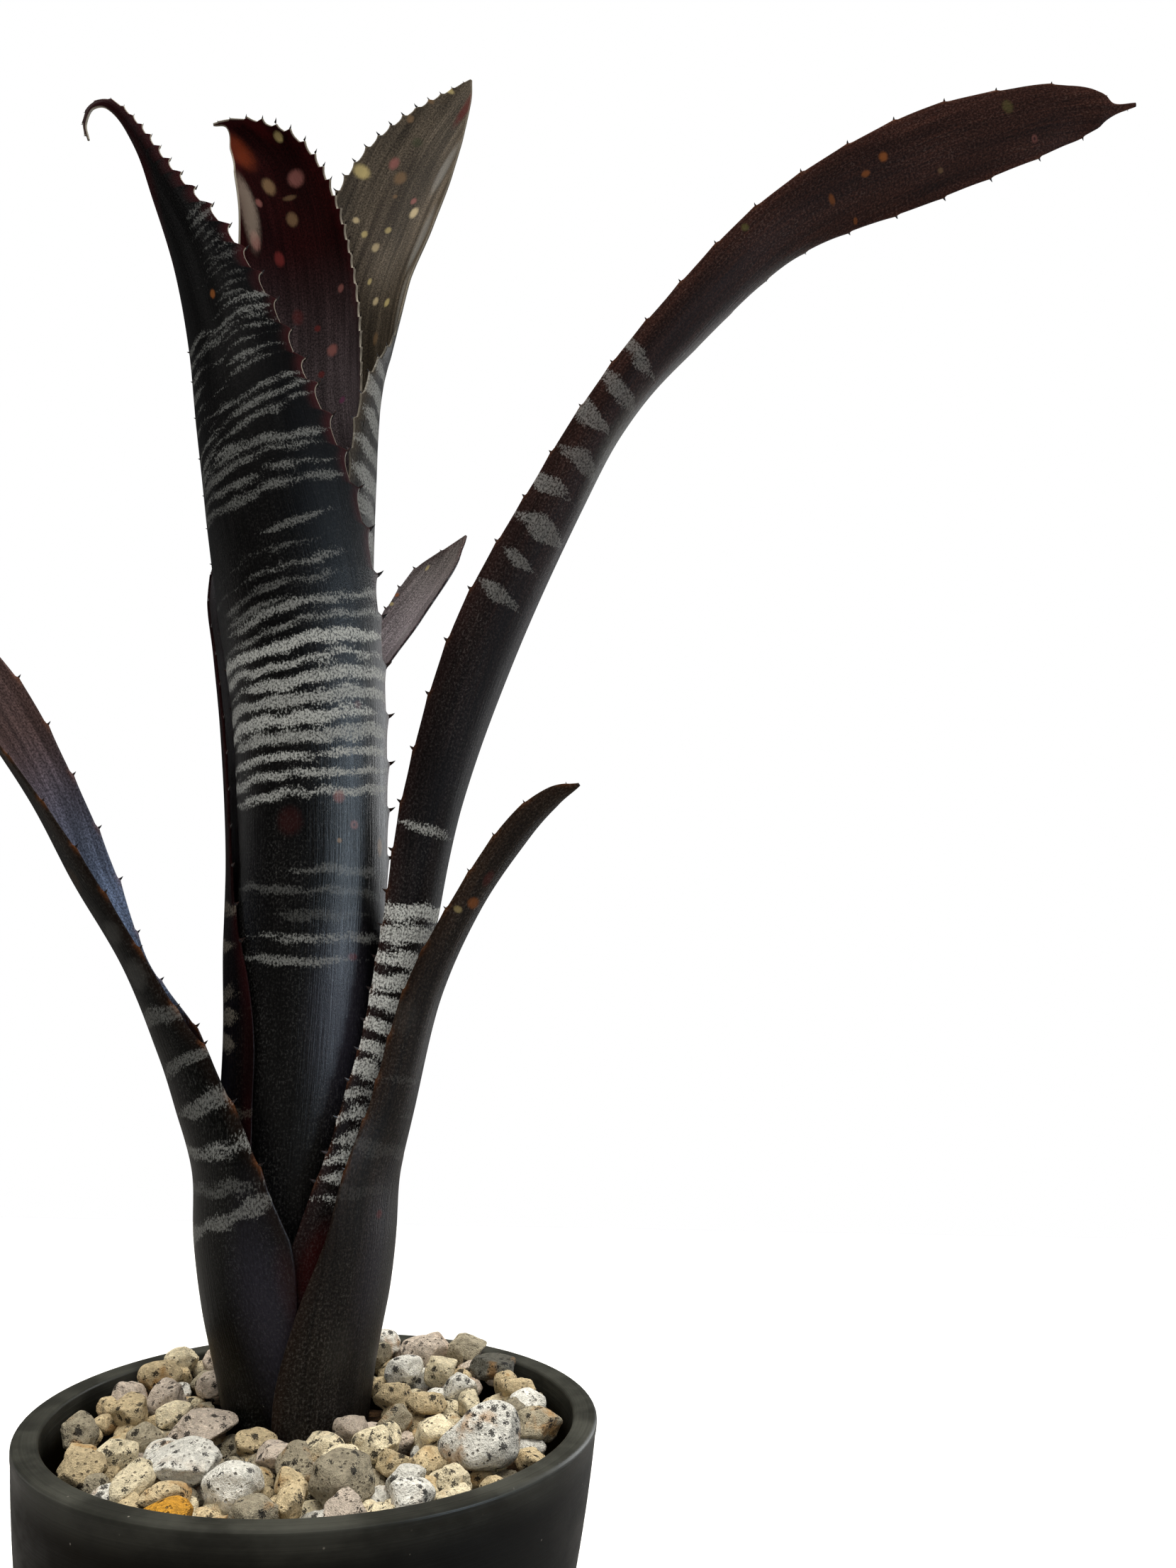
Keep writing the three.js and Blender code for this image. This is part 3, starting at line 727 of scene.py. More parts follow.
@dataclass(frozen=True)
class SpineFinish:
    """Horny spines: near black, brown where the light catches their roots.

    Attributes:
        tip: colour of the spine.
        root: colour that mottles it.
        gloss: its roughness.
    """

    tip: int = 0x120D0C
    root: int = 0x33201A
    gloss: float = 0.35

    def material(self) -> bpy.types.Material:
        """The spines' material, mottled by noise in Object coordinates.

        Returns:
            The material.
        """
        g = Graph("spine")
        mottle = g.noise(g.place(), 1.6, 2.0)
        colour = g.mix(g.step(mottle, 0.4, 0.7), tone(self.tip), tone(self.root))
        g.finish(colour, g.step(mottle, 0.3, 0.7, self.gloss, self.gloss + 0.2), mottle, 0.05, 0.4)
        return g.material


# Leaves


@dataclass(frozen=True)
class Teeth:
    """Spines and scallops along both margins.

    Attributes:
        start: distance of the first spine from the foot, in millimetres.
        pitch: pairs of distance from the foot and spacing there.
        height: how far a spine stands out.
        scallop: depth of the notch behind a spine.
        bare: sides, -1 or 1, that carry no spines from a distance on.
        lean: angle in radians by which the spines lean towards the outer face.
    """

    start: float
    pitch: tuple[tuple[float, float], ...]
    height: float
    scallop: float
    bare: tuple[tuple[int, float], ...] = ()
    lean: float = 0.0


@dataclass
class Ribs:
    """Cross-sections of a leaf at a row of distances, in the rosette's frame.

    Attributes:
        along: distances from the foot, M.
        middle: places of the midrib, M by 3.
        forward: directions along the leaf, M by 3.
        face: directions that the outer face looks to, M by 3.
        beside: directions across the leaf, M by 3.
        half_width: half the width along the arc, M.
        curl: half the angle of the arc, M.
    """

    along: np.ndarray
    middle: np.ndarray
    forward: np.ndarray
    face: np.ndarray
    beside: np.ndarray
    half_width: np.ndarray
    curl: np.ndarray


@dataclass
class Leaf:
    """One leaf: a curled blade on a midrib curve, with spiny margins.

    Attributes:
        node: name of its CAD node.
        nest: its place in the nest of sheaths, from the innermost.
        sheath: rows of level, half angle and azimuth.
        blade: rows of the midrib's X, Y and Z, half width, half curl, azimuth and tilt.
        teeth: its margins.
        finish: its colours.
        bands: its silver bands.
        spots: its spots.
        groove: start, end, place across, breadth and depth of a channel along the blade.
        row_step: spacing of the mesh's rows, in millimetres.
    """

    node: str
    nest: float
    sheath: tuple
    blade: tuple
    teeth: Teeth
    finish: LeafFinish
    bands: tuple[Bands, ...] = ()
    spots: tuple[Spot, ...] = ()
    groove: tuple[float, float, float, float, float] = (0.0, 1.0, 0.0, 1.0, 0.0)
    row_step: float = 0.85

    def __post_init__(self) -> None:
        """Works out the midrib's rows, its table of lengths and the running number of spines along it."""
        self.rows = np.vstack([self.sheath_rows(), np.array(self.blade, float)])
        self.places = np.arange(MIDRIB_PLACES * (len(self.rows) - 1) + 1) / MIDRIB_PLACES
        steps = np.diff(self.spline(self.places)[:, :3], axis=0)
        self.lengths = np.concatenate([[0.0], np.cumsum(np.linalg.norm(steps, axis=1))])
        self.length = float(self.lengths[-1])
        table = np.arange(0.0, self.length + TABLE_STEP, TABLE_STEP)
        pitch = np.interp(table, *np.array(self.teeth.pitch, float).T)
        gain = np.where(table > self.teeth.start, TABLE_STEP / pitch, 0.0)
        self.count = (table, np.cumsum(gain) - gain[0])

    def sheath_rows(self) -> np.ndarray:
        """Blade rows of the sheath, which lies round the tube's axis.

        A point is (axis + r cos a, r sin a, level) with r = innermost + nest step, and the half
        width is r times the half angle.

        Returns:
            Rows in the form of the blade's rows.
        """
        sheath, tube = np.array(self.sheath, float), np.array(TUBE, float)
        levels = np.array([level for level in SHEATH_LEVELS if level <= sheath[-1, 0]], float)
        half, azimuth = (np.interp(levels, sheath[:, 0], sheath[:, k]) for k in (1, 2))
        axis, inner, step = (np.interp(levels, tube[:, 0], tube[:, k]) for k in (1, 2, 3))
        radius = inner + self.nest * step
        turn = np.radians(azimuth)
        width = radius * np.radians(half)
        x, y = axis + radius * np.cos(turn), radius * np.sin(turn)
        return np.stack([x, y, levels, width, half, azimuth, np.zeros_like(x)], -1)

    def spline(self, places: np.ndarray) -> np.ndarray:
        """Catmull-Rom interpolation between the midrib's rows, with its ends carried on straight.

        With t from 0 to 1 between the rows p1 and p2, a value is half of
        2 p1 + (p2 - p0) t + (2 p0 - 5 p1 + 4 p2 - p3) t^2 + (3 p1 - p0 - 3 p2 + p3) t^3.

        Args:
            places: row numbers with fractions.

        Returns:
            Rows at those places.
        """
        rows = self.rows
        padded = np.vstack([2 * rows[0] - rows[1], rows, 2 * rows[-1] - rows[-2]])
        i = np.clip(np.floor(places).astype(int), 0, len(rows) - 2)
        t = (places - i)[:, None]
        p0, p1, p2, p3 = (padded[i + k] for k in range(4))
        square = (2 * p0 - 5 * p1 + 4 * p2 - p3) * t * t
        cube = (3 * p1 - p0 - 3 * p2 + p3) * t * t * t
        return 0.5 * (2 * p1 + (p2 - p0) * t + square + cube)

    def ribs(self, along: np.ndarray) -> Ribs:
        """Cross-sections of the leaf at some distances from its foot.

        The face's direction is (cos a cos t, sin a cos t, sin t) for the azimuth a and the tilt t,
        made square to the midrib, and the direction across is forward x face.

        Args:
            along: distances from the foot.

        Returns:
            The cross-sections.
        """
        places = np.interp(along, self.lengths, self.places)
        row = self.spline(places)
        ahead = self.spline(np.minimum(places + 0.01, len(self.rows) - 1))
        behind = self.spline(np.maximum(places - 0.01, 0.0))
        forward = (ahead - behind)[:, :3]
        forward /= np.linalg.norm(forward, axis=1, keepdims=True)
        turn, tilt = np.radians(row[:, 5]), np.radians(row[:, 6])
        face = np.stack([np.cos(turn) * np.cos(tilt), np.sin(turn) * np.cos(tilt), np.sin(tilt)], -1)
        face -= forward * np.sum(face * forward, axis=1, keepdims=True)
        face /= np.linalg.norm(face, axis=1, keepdims=True)
        beside = np.cross(forward, face)
        width = np.maximum(row[:, 3], LEAST_WIDTH)
        curl = np.radians(np.maximum(row[:, 4], LEAST_CURL))
        return Ribs(along, row[:, :3], forward, face, beside, width, curl)

    def row_places(self) -> np.ndarray:
        """Distances of the mesh's rows: far apart under the stones, near together at the tip.

        Returns:
            Distances from the foot, from 0 to the leaf's length.
        """
        hidden = np.arange(0.0, HIDDEN_LENGTH, HIDDEN_STEP)
        shown = np.arange(HIDDEN_LENGTH, self.length - TIP_LENGTH, self.row_step)
        tip = np.arange(self.length - TIP_LENGTH, self.length, TIP_STEP)
        return np.concatenate([hidden, shown, tip, [self.length]])

    def notch(self, ribs: Ribs, side: int) -> np.ndarray:
        """How far the margin lies inside its full width, at each row of one side.

        With t the share of the way from one spine to the next, the notch is scallop (1 - t^p) with
        p = NOTCH_POWER: deepest just past a spine, and out again to the foot of the next one.

        Args:
            ribs: cross-sections of the leaf.
            side: -1 for the left margin and 1 for the right one.

        Returns:
            The depth of the notch, 0 or more.
        """
        number = np.interp(ribs.along, *self.count) + (0.5 if side < 0 else 0.0)
        share = number % 1.0
        depth = self.teeth.scallop * np.clip(ribs.half_width / NOTCH_WIDTH, NOTCH_LEAST, 1.0)
        toothed = smooth(ribs.along, self.teeth.start, self.teeth.start + NOTCH_START)
        for bare_side, start in self.teeth.bare:
            if side == bare_side:
                toothed = toothed * (1.0 - smooth(ribs.along, start - NOTCH_END, start))
        return depth * toothed * smooth(share, 0.0, NOTCH_STEEP) * (1.0 - share**NOTCH_POWER)

    def spine_places(self, side: int) -> np.ndarray:
        """Distances of one margin's spines from the foot, where their running number is whole.

        Args:
            side: -1 for the left margin and 1 for the right one.

        Returns:
            The distances, between the first spine and the tip or the bare stretch.
        """
        table, count = self.count
        number = count + (0.5 if side < 0 else 0.0)
        whole = np.arange(math.floor(number[0]) + 1, math.floor(number[-1]) + 1)
        places = np.interp(whole, number, table)
        end = min([self.length - 1.5] + [start for bare_side, start in self.teeth.bare if side == bare_side])
        return places[(places > self.teeth.start) & (places < end)]

    def sheet(self, ribs: Ribs, across: np.ndarray, lift: np.ndarray) -> np.ndarray:
        """Points of the curled blade.

        With u = across / half width, a = u curl and r = half width / curl, a point is
        middle + face (r (cos a - 1) + lift cos a) + beside (r + lift) sin a.

        Args:
            ribs: cross-sections, M of them.
            across: distances from the midrib along the arc, M by K.
            lift: heights over the middle of the blade, towards its outer face, M by K.

        Returns:
            Points in the rosette's frame, M by K by 3.
        """
        radius = (ribs.half_width / ribs.curl)[:, None]
        angle = across / radius
        out = radius * (np.cos(angle) - 1.0) + lift * np.cos(angle)
        side = (radius + lift) * np.sin(angle)
        return (
            ribs.middle[:, None, :]
            + ribs.face[:, None, :] * out[..., None]
            + ribs.beside[:, None, :] * side[..., None]
        )

    def blade_surface(self) -> Surface:
        """The blade: a closed loop of the outer face, the inner face and two rounded margins.

        Across the leaf, column t from -1 to 1 lies at w (1.5 t - 0.5 t^3), which crowds the columns
        at the margins, and gives way to the notches by |u|^n with n = w / 4, from 1 to 8. Half the
        thickness is h sqrt(1 - (1 - e / m)^2) at a distance e under m from the margin. A groove
        sinks both faces by depth exp(-((across - place) / breadth)^2).

        Returns:
            The blade with its numbers for the material.
        """
        ribs = self.ribs(self.row_places())
        t = np.linspace(-1.0, 1.0, COLUMNS)[None, :]
        u = 1.5 * t - 0.5 * t**3
        width = ribs.half_width[:, None]
        power = np.clip(width / 4.0, 1.0, 8.0)
        notch = np.where(t < 0, self.notch(ribs, -1)[:, None], self.notch(ribs, 1)[:, None])
        across = u * width - np.sign(u) * notch * np.abs(u) ** power
        edge = np.maximum(width - notch - np.abs(across), 0.0)
        inward = 1.0 - np.clip(edge / MARGIN_ROUND, 0.0, 1.0)
        half = HALF_THICKNESS * np.sqrt(np.maximum(1.0 - inward * inward, 0.0))
        start, end, place, breadth, depth = self.groove
        along = np.broadcast_to(ribs.along[:, None], across.shape)
        window = smooth(along, start, start + GROOVE_START) * (1.0 - smooth(along, end - GROOVE_END, end))
        channel = -depth * window * np.exp(-(((across - place) / breadth) ** 2))
        outer = self.sheet(ribs, across, channel + half)
        inner = self.sheet(ribs, across, channel - half)
        loop = np.concatenate([outer, inner[:, -2:0:-1]], axis=1) + np.array(PLANT_PLACE)
        surface = Surface.tube(loop)
        depth_in_band, strength = self.band_cover(along, across)
        numbers = {
            "along": along,
            "across": across,
            "edge": edge,
            "reach": along / self.length,
            "band": depth_in_band,
            "silver": strength,
            "root": self.spine_nearness(along, across, edge),
        }
        for name, values in numbers.items():
            looped = np.concatenate([values, values[:, -2:0:-1]], axis=1)
            if name == "silver":
                looped[:, COLUMNS:] = 0.0
            ends = [looped[0].mean(), looped[-1].mean()]
            surface.numbers[name] = np.concatenate([looped.ravel(), ends])
        faces_out = np.zeros(loop.shape[:2])
        faces_out[:, :COLUMNS] = 1.0
        surface.numbers["outer"] = np.concatenate([faces_out.ravel(), [0.5, 0.5]])
        return surface

    def band_cover(self, along: np.ndarray, across: np.ndarray) -> tuple[np.ndarray, np.ndarray]:
        """Depth in the deepest band of all runs, and that band's strength.

        Args:
            along: distances from the foot.
            across: distances from the midrib.

        Returns:
            Depth in millimetres and strength, at each vertex.
        """
        depth = np.full(along.shape, -DEEP_OUTSIDE)
        strength = np.zeros(along.shape)
        for number, run in enumerate(self.bands):
            here, silver = run.cover(along, across, 7 * number + len(self.node))
            strength = np.where(here > depth, silver, strength)
            depth = np.maximum(depth, here)
        return depth, strength

    def spine_nearness(self, along: np.ndarray, across: np.ndarray, edge: np.ndarray) -> np.ndarray:
        """How near each vertex lies to a spine's root, for the warm colour there.

        It is 1 at a root and falls evenly to 0 at ROOT_ALONG along the margin or ROOT_ACROSS in
        from it.

        Args:
            along: distances from the foot.
            across: distances from the midrib.
            edge: distances from the margin.

        Returns:
            Nearness from 0 to 1.
        """
        near = np.zeros(along.shape)
        for side in (-1, 1):
            for place in self.spine_places(side):
                reach = np.hypot((along - place) / ROOT_ALONG, edge / ROOT_ACROSS)
                near = np.maximum(near, np.where(across * side > 0, 1.0 - reach, 0.0))
        return np.clip(near, 0.0, 1.0)

    def spine_surface(self) -> Surface:
        """The spines: flattened cones that stand out from the margin and curve towards the tip.

        The height h is the lesser of the leaf's and 0.3 + 0.05 half width. At a share q of it, the
        axis lies (h + SPINE_SUNK) q - SPINE_SUNK outwards and SPINE_BEND h q^2 forwards, where the
        outward direction leans towards the outer face by the margins' lean. The section is an
        ellipse of SPINE_ALONG t by SPINE_ACROSS t with t = (1 - q)^0.8 min(1, h / 1.5) + 0.03.

        Returns:
            All spines of the leaf, in the second material slot.
        """
        q = np.linspace(0.0, 1.0, SPINE_RINGS)
        turn = np.linspace(0.0, 2 * math.pi, SPINE_SIDES, endpoint=False)
        spines = Surface(np.zeros((0, 3)), np.zeros((0, 3), int), np.zeros(0, int))
        for side in (-1, 1):
            places = self.spine_places(side)
            if not len(places):
                continue
            ribs = self.ribs(places)
            margin = self.sheet(ribs, side * ribs.half_width[:, None], np.zeros((len(places), 1)))[:, 0]
            angle = side * (ribs.curl - self.teeth.lean)
            outward = side * (ribs.beside * np.cos(angle)[:, None] - ribs.face * np.sin(angle)[:, None])
            normal = ribs.face * np.cos(angle)[:, None] + ribs.beside * np.sin(angle)[:, None]
            size = np.minimum(self.teeth.height, 0.3 + 0.05 * ribs.half_width)
            for k in range(len(places)):
                h = size[k]
                axis = (
                    margin[k]
                    + outward[k] * ((h + SPINE_SUNK) * q - SPINE_SUNK)[:, None]
                    + ribs.forward[k] * (SPINE_BEND * h * q * q)[:, None]
                )
                taper = (1.0 - q) ** 0.8 * min(1.0, h / 1.5) + 0.03
                ring = (
                    axis[:, None, :]
                    + ribs.forward[k] * (SPINE_ALONG * taper[:, None] * np.cos(turn))[..., None]
                    + normal[k] * (SPINE_ACROSS * taper[:, None] * np.sin(turn))[..., None]
                )
                spines = spines.join(Surface.tube(ring + np.array(PLANT_PLACE), slot=1))
        return spines

    def build(self, spine: bpy.types.Material) -> None:
        """Makes the leaf with its spines as one piece that stands for its CAD node.

        Args:
            spine: material of the spines.
        """
        skin = self.finish.material(self.node + "_skin", self.spots)
        surface = self.blade_surface().join(self.spine_surface())
        surface.build(self.node + "_fine", [skin, spine], self.node, "leaf")


# The eight leaves with their measured marks, from the innermost to the outermost
LEAVES = (
    Leaf(
        "leaf_tube_inner",
        0,
        ((-12, 150, 95), (60, 140, 95), (100, 130, 95), (150, 115, 95), (200, 96, 93)),
        (
            (-13.1, 16.5, 240, 25.7, 92, 92, 0),
            (-17.5, 17.5, 270, 26.5, 77, 90, 0),
            (-20, 17, 300, 21.5, 62, 92, 0),
            (-24.5, 16, 325, 17.5, 55, 95, 0),
            (-31, 15, 342, 14, 50, 100, 5),
            (-39, 14, 351.5, 8, 45, 110, 20),
            (-45, 12.5, 355.5, 1.8, 40, 130, 40),
            (-49.5, 11.5, 354.5, 0.5, 35, 130, 40),
        ),
        Teeth(215, ((215, 7.5), (300, 5.4), (350, 4.5), (385, 3)), 0.8, 1.8, ((1, 250.0),)),
        LeafFinish(
            # grey inner ground near the foot: a painted sheen
            inner_low=0x4C4446,
            inner_high=0x1C0505,
            turn=(0.7, 0.87),
            specular=0.04,
            outer_low=0x121011,
            outer_high=0x1C0E0F,
            margin=0x3A1012,
            tint=0.5,
            line=0.55,
            streaks=0.2,
        ),
        bands=(Bands(row(150, 250, 6), 3.0, 0.4, -25, 25),),
        spots=(
            Spot(364, -7, 2.9, 2.5, Mark.YELLOW, 0.7, Face.INNER),
            Spot(352, -5, 5, 5, Mark.PINK, 0.7, Face.INNER),
            Spot(352, 4, 5.8, 3.7, Mark.TAN, 0.75, Face.INNER),
            Spot(346, 9, 2.9, 2, Mark.PINK, 0.7, Face.INNER),
            Spot(347, -1, 1.7, 4, Mark.TAN, 0.4, Face.INNER),
            Spot(340, 0, 4.5, 3.3, Mark.TAN, 0.6, Face.INNER),
            Spot(332, 13, 6.5, 3.2, Mark.PINK, 0.8, Face.INNER),
            Spot(327, 6, 4.9, 2.9, Mark.RED, 0.8, Face.INNER),
            Spot(314, -13, 2.4, 2.4, Mark.PINK, 0.7, Face.INNER),
            Spot(308, 2, 4.9, 3.3, Mark.RED, 0.3, Face.INNER),
            Spot(304, -4, 2, 2, Mark.RED, 0.6, Face.INNER),
            Spot(296, -9, 3.7, 3.7, Mark.PINK, 0.8, Face.INNER),
            Spot(289, -5, 2.2, 2.2, Mark.RED, 0.6, Face.INNER),
            Spot(278, -12, 2.1, 2.4, Mark.PURPLE, 0.8, Face.INNER),
            Spot(371, 7, 22, 9, Mark.GLOW, 0.85, Face.INNER),
            # pale patch on the inner face: a painted highlight
            Spot(343, 13.5, 26, 6, Mark.PEARL, 0.6, Face.INNER),
            Spot(378, -5, 26, 5, Mark.BLOOD, 0.5, Face.INNER),
        ),
    ),
    Leaf(
        "leaf_tube_back",
        1,
        ((-12, 140, 60), (60, 130, 60), (100, 120, 60), (150, 110, 56), (200, 96, 52)),
        (
            (0.4, 15.5, 240, 29.7, 92, 50, 0),
            (-4, 23, 275, 26, 66, 66, 0),
            (-4, 25, 305, 22, 50, 76, 0),
            (1, 28, 330, 20, 40, 80, 0),
            (6.5, 30, 350, 17.5, 32, 82, 0),
            (14, 31, 367, 12.5, 28, 82, 0),
            (21.5, 32, 381, 5.6, 25, 82, 0),
            (25.5, 33, 389.5, 0.6, 25, 82, 0),
        ),
        Teeth(215, ((215, 8), (320, 6.5), (370, 5.5), (405, 4)), 0.8, 1.2, ((-1, 305.0),)),
        LeafFinish(
            inner_low=0x2A241C,
            inner_high=0x484036,
            outer_low=0x1E1D1C,
            outer_high=0x2A2724,
            margin=0x5A4C3A,
            tint=0.3,
            line=0.2,
            streaks=0.35,
        ),
        bands=(
            Bands(row(220, 276, 8), 5.6, 0.5, -33, 33, slant=-0.05),
            Bands(row(150, 208, 7), 3.4, 0.3, -33, 33, ragged=0.5),
        ),
        spots=(
            Spot(363, 14, 4.3, 5.2, Mark.YELLOW, 0.9, Face.INNER),
            Spot(370, 6, 4.3, 3, Mark.PINK, 0.85, Face.INNER),
            Spot(366, 2, 4.8, 3.9, Mark.TAN, 0.85, Face.INNER),
            Spot(359, 1, 1.5, 1.5, Mark.TAN, 0.8, Face.INNER),
            Spot(358, -6, 2.6, 2.1, Mark.PINK, 0.8, Face.INNER),
            Spot(353, -8, 4.3, 3, Mark.CREAM, 0.9, Face.INNER),
            Spot(386, 9, 2.6, 2.2, Mark.TAN, 0.8, Face.INNER),
            Spot(395, 7, 1.8, 2.6, Mark.TAN, 0.8, Face.INNER),
            Spot(402, 4, 1.9, 3.5, Mark.YELLOW, 0.8, Face.INNER),
            Spot(380, 3, 3.5, 3.5, Mark.GREEN, 0.5, Face.INNER),
            Spot(347, 10, 2.1, 2.1, Mark.CREAM, 0.85, Face.INNER),
            Spot(343, 6, 2.6, 1.9, Mark.YELLOW, 0.7, Face.INNER),
            Spot(346, -1, 2.4, 2.1, Mark.YELLOW, 0.7, Face.INNER),
            Spot(339, 1, 3.4, 2.4, Mark.CREAM, 0.9, Face.INNER),
            Spot(326, -1, 2.5, 1.3, Mark.YELLOW, 0.7, Face.INNER),
            Spot(318, -5, 2.9, 2.1, Mark.CREAM, 0.85, Face.INNER),
            Spot(316, -10, 2.9, 2.3, Mark.YELLOW, 0.8, Face.INNER),
            Spot(304, -7, 4.4, 1.9, Mark.TAN, 0.7, Face.INNER),
            Spot(401, -5.5, 20, 4, Mark.BLOOD, 0.95, Face.INNER),
            # pale grey strips along the edge: a painted sheen
            Spot(372, -12, 22, 3.5, Mark.GREY, 0.45, Face.INNER),
            Spot(340, -16.5, 26, 4, Mark.GREY, 0.45, Face.INNER),
            Spot(312, -19.5, 26, 4, Mark.GREY, 0.4, Face.INNER),
            Spot(350, 2, 60, 8, Mark.DARK, 0.3, Face.INNER),
        ),
    ),
    Leaf(
        "leaf_tube_front",
        2,
        ((-12, 130, -95), (52, 125, -95), (84, 110, -92), (132, 97, -90)),
        (
            (-6, -20.8, 170, 31.9, 90, -90, 0),
            (-12.6, -22.7, 200, 33, 86, -96, 0),
            (-20.3, -22.9, 225, 30.2, 77, -105, 0),
            (-27.9, -21, 250, 24.9, 68, -112, 3),
            (-33, -20, 273, 19, 72, -106, 6),
            (-41.5, -19.5, 296, 12.5, 68, -108, 10),
            (-52, -20, 314.5, 6, 62, -112, 12),
            (-60, -20.5, 328, 2.8, 55, -112, 10),
            (-66.5, -21, 334.5, 1.8, 45, -108, 0),
            (-71.5, -21, 333.5, 1.2, 35, -104, 0),
            (-73, -21, 328, 0.8, 30, -100, 0),
            (-71.5, -21, 323, 0.5, 30, -100, 0),
        ),
        Teeth(
            70,
            ((70, 12), (190, 12), (270, 9.8), (320, 6.5), (350, 3.5)),
            2.0,
            3.4,
            bare=((-1, 290.0),),
            lean=1.35,
        ),
        LeafFinish(
            outer_low=0x090808,
            outer_high=0x050404,
            inner_low=0x0C0809,
            inner_high=0x0E0A0B,
            margin=0x3A0A0E,
            tint=0.6,
            line=0.7,
            speckle=0.09,
            clean=0.2,
            specular=0.2,
            streaks=0.2,
        ),
        bands=(
            Bands((127, 133, 138), 2.4, 0.16, -14, 22, ragged=0.6),
            Bands((116, 121.5), 2.6, 0.34, -20, 25, ragged=0.5),
            Bands(row(157, 195, 4.75), 3.0, 0.9, -31, 33, slant=0.06, ragged=0.3, fade=12.0),
            Bands((199.5, 204), 2.2, 0.45, -20, 33, slant=0.1, ragged=0.3),
            Bands((206.5, 210, 214.5, 219.5, 225), 2.0, 0.24, -9, 13, slant=0.12, ragged=0.5),
            Bands((208, 213), 1.8, 0.2, -26, -8, ragged=0.5),
            Bands((235.7, 240.3, 245.2, 248.6), 2.2, 0.26, -30, 24, ragged=0.2, bow=-0.5),
            Bands((254.6, 258.3, 262.1), 2.0, 0.26, -6, 23, slant=0.34, ragged=0.15),
            Bands((250.5, 254, 257.8), 1.8, 0.34, -30, -4, slant=0.1, ragged=0.3),
            Bands((236.5, 241, 245.5), 1.8, 0.24, -31, -14, ragged=0.3),
            Bands((269.5, 273, 277, 280.5, 283.2, 285.4, 289), 1.8, 0.24, -3, 16, slant=0.4),
            Bands((263, 267.5, 272, 276.5, 281, 285.5), 1.7, 0.3, -26, -4, ragged=0.3),
            Bands(row(292.5, 322, 2.7), 1.4, 0.14, 1, 9, slant=0.4, ragged=0.4, fade=3.0),
        ),
        row_step=0.45,
        spots=(
            Spot(156, 10, 3.1, 2.8, Mark.PINK, 0.6),
            Spot(149, 14, 2.2, 2.2, Mark.PINK, 0.6),
            Spot(149, 14, 0.8, 0.8, Mark.DARK, 0.8),
            Spot(145, 10, 1.2, 1.2, Mark.TAN, 0.8),
            Spot(144, 23, 4.2, 2.2, Mark.TAN, 0.7),
            Spot(150, -2, 7, 6, Mark.RED, 0.12),
            Spot(179, 16, 2, 2, Mark.RED, 0.3),
            Spot(117, 15, 1.8, 2.5, Mark.RED, 0.6),
            Spot(296, 0, 2.5, 1.6, Mark.ORANGE, 0.7),
            # soft bluish haze: a painted sheen that widens the light's sheen on this leaf
            Spot(104, 13, 52, 17, Mark.DUSK, 0.3, soft=True),
        ),
        groove=(262.0, 352.0, -1.5, 2.6, 1.1),
    ),
    Leaf(
        "leaf_back_left",
        3,
        ((-12, 108, 145), (20, 108, 145), (84, 98, 147)),
        (
            (-21.8, 11.9, 105, 30, 84, 150, 0),
            (-24.6, 12, 130, 20.6, 62, 155, 0),
            (-28.5, 14, 160, 19.7, 58, 155, 0),
            (-33.5, 17, 185, 16.6, 50, 155, 0),
            (-38, 20, 205, 11, 40, 153, 0),
            (-38, 24, 225, 6, 34, 150, 0),
            (-35, 28, 241, 0.7, 30, 145, 0),
        ),
        Teeth(110, ((110, 10), (250, 9)), 1.4, 0.8),
        LeafFinish(
            outer_low=0x0A0505,
            outer_high=0x050303,
            silver=0x9A9284,
            margin=0x2A0C0E,
            tint=0.5,
            specular=0.04,
        ),
        bands=(
            Bands((98, 103.5, 109, 121.5, 131), 3.6, 0.36, 10, 28, slant=-0.1, fade=5.0),
            Bands((92, 99, 105.5, 113, 118.5, 126, 132), 3.4, 0.3, -40, 0, slant=-0.1),
            Bands((62, 70, 79), 3.0, 0.18, -40, 40, ragged=0.4),
        ),
    ),
    Leaf(
        "leaf_back_right",
        4,
        ((-12, 115, 50), (20, 112, 50), (68, 84, 53), (84, 70, 56)),
        (
            (7, 21.1, 105, 18.7, 50, 60, 0),
            (2.5, 23.4, 129, 9.3, 27, 66, 0),
            (1.3, 26, 155, 10.3, 36, 66, 0),
            (1, 29, 182, 9, 40, 60, -12),
            (13.3, 32, 204.7, 10.6, 36, 55, -25),
            (22, 34, 220, 12.6, 30, 50, -35),
            (26.5, 35, 228.5, 5.5, 30, 50, -35),
            (29.3, 36, 234, 0.5, 28, 50, -35),
        ),
        Teeth(150, ((150, 10), (250, 8)), 1.1, 0.5),
        LeafFinish(
            inner_low=0x7A7276,
            inner_high=0x544E4B,
            outer_low=0x1C1A1A,
            streaks=0.2,
            turn=(0.8, 1.0),
        ),
        bands=(Bands(row(20, 90, 5), 2.5, 0.6, -30, 30, ragged=0.5),),
        spots=(
            Spot(242, 7.6, 2.2, 1.2, Mark.YELLOW, 0.6, Face.INNER),
            Spot(226, 9.7, 1.3, 1.3, Mark.YELLOW, 0.7, Face.INNER),
            Spot(229.5, 10.5, 1.5, 1.5, Mark.ORANGE, 0.7, Face.INNER),
            Spot(218, -3, 6, 2, Mark.GREY, 0.3, Face.INNER),
        ),
    ),
    Leaf(
        "leaf_arching_right",
        5,
        ((-12, 98, -13), (15, 88, -13), (38, 63, -13), (68, 42, -13)),
        (
            (24, -5.5, 85, 15.5, 55, -13, 0),
            (29, -7, 110, 15.5, 88, -13, -5),
            (34.5, -10, 145, 15.5, 85, -25, -12),
            (46.5, -13, 185, 16.3, 80, -34, -22),
            (64, -15, 225, 13.5, 90, -36, -32),
            (75, -16.5, 247, 11.5, 84, -40, -36),
            (90, -18, 269, 10.3, 62, -55, -38),
            (118.5, -20, 301, 9.8, 36, -75, -38),
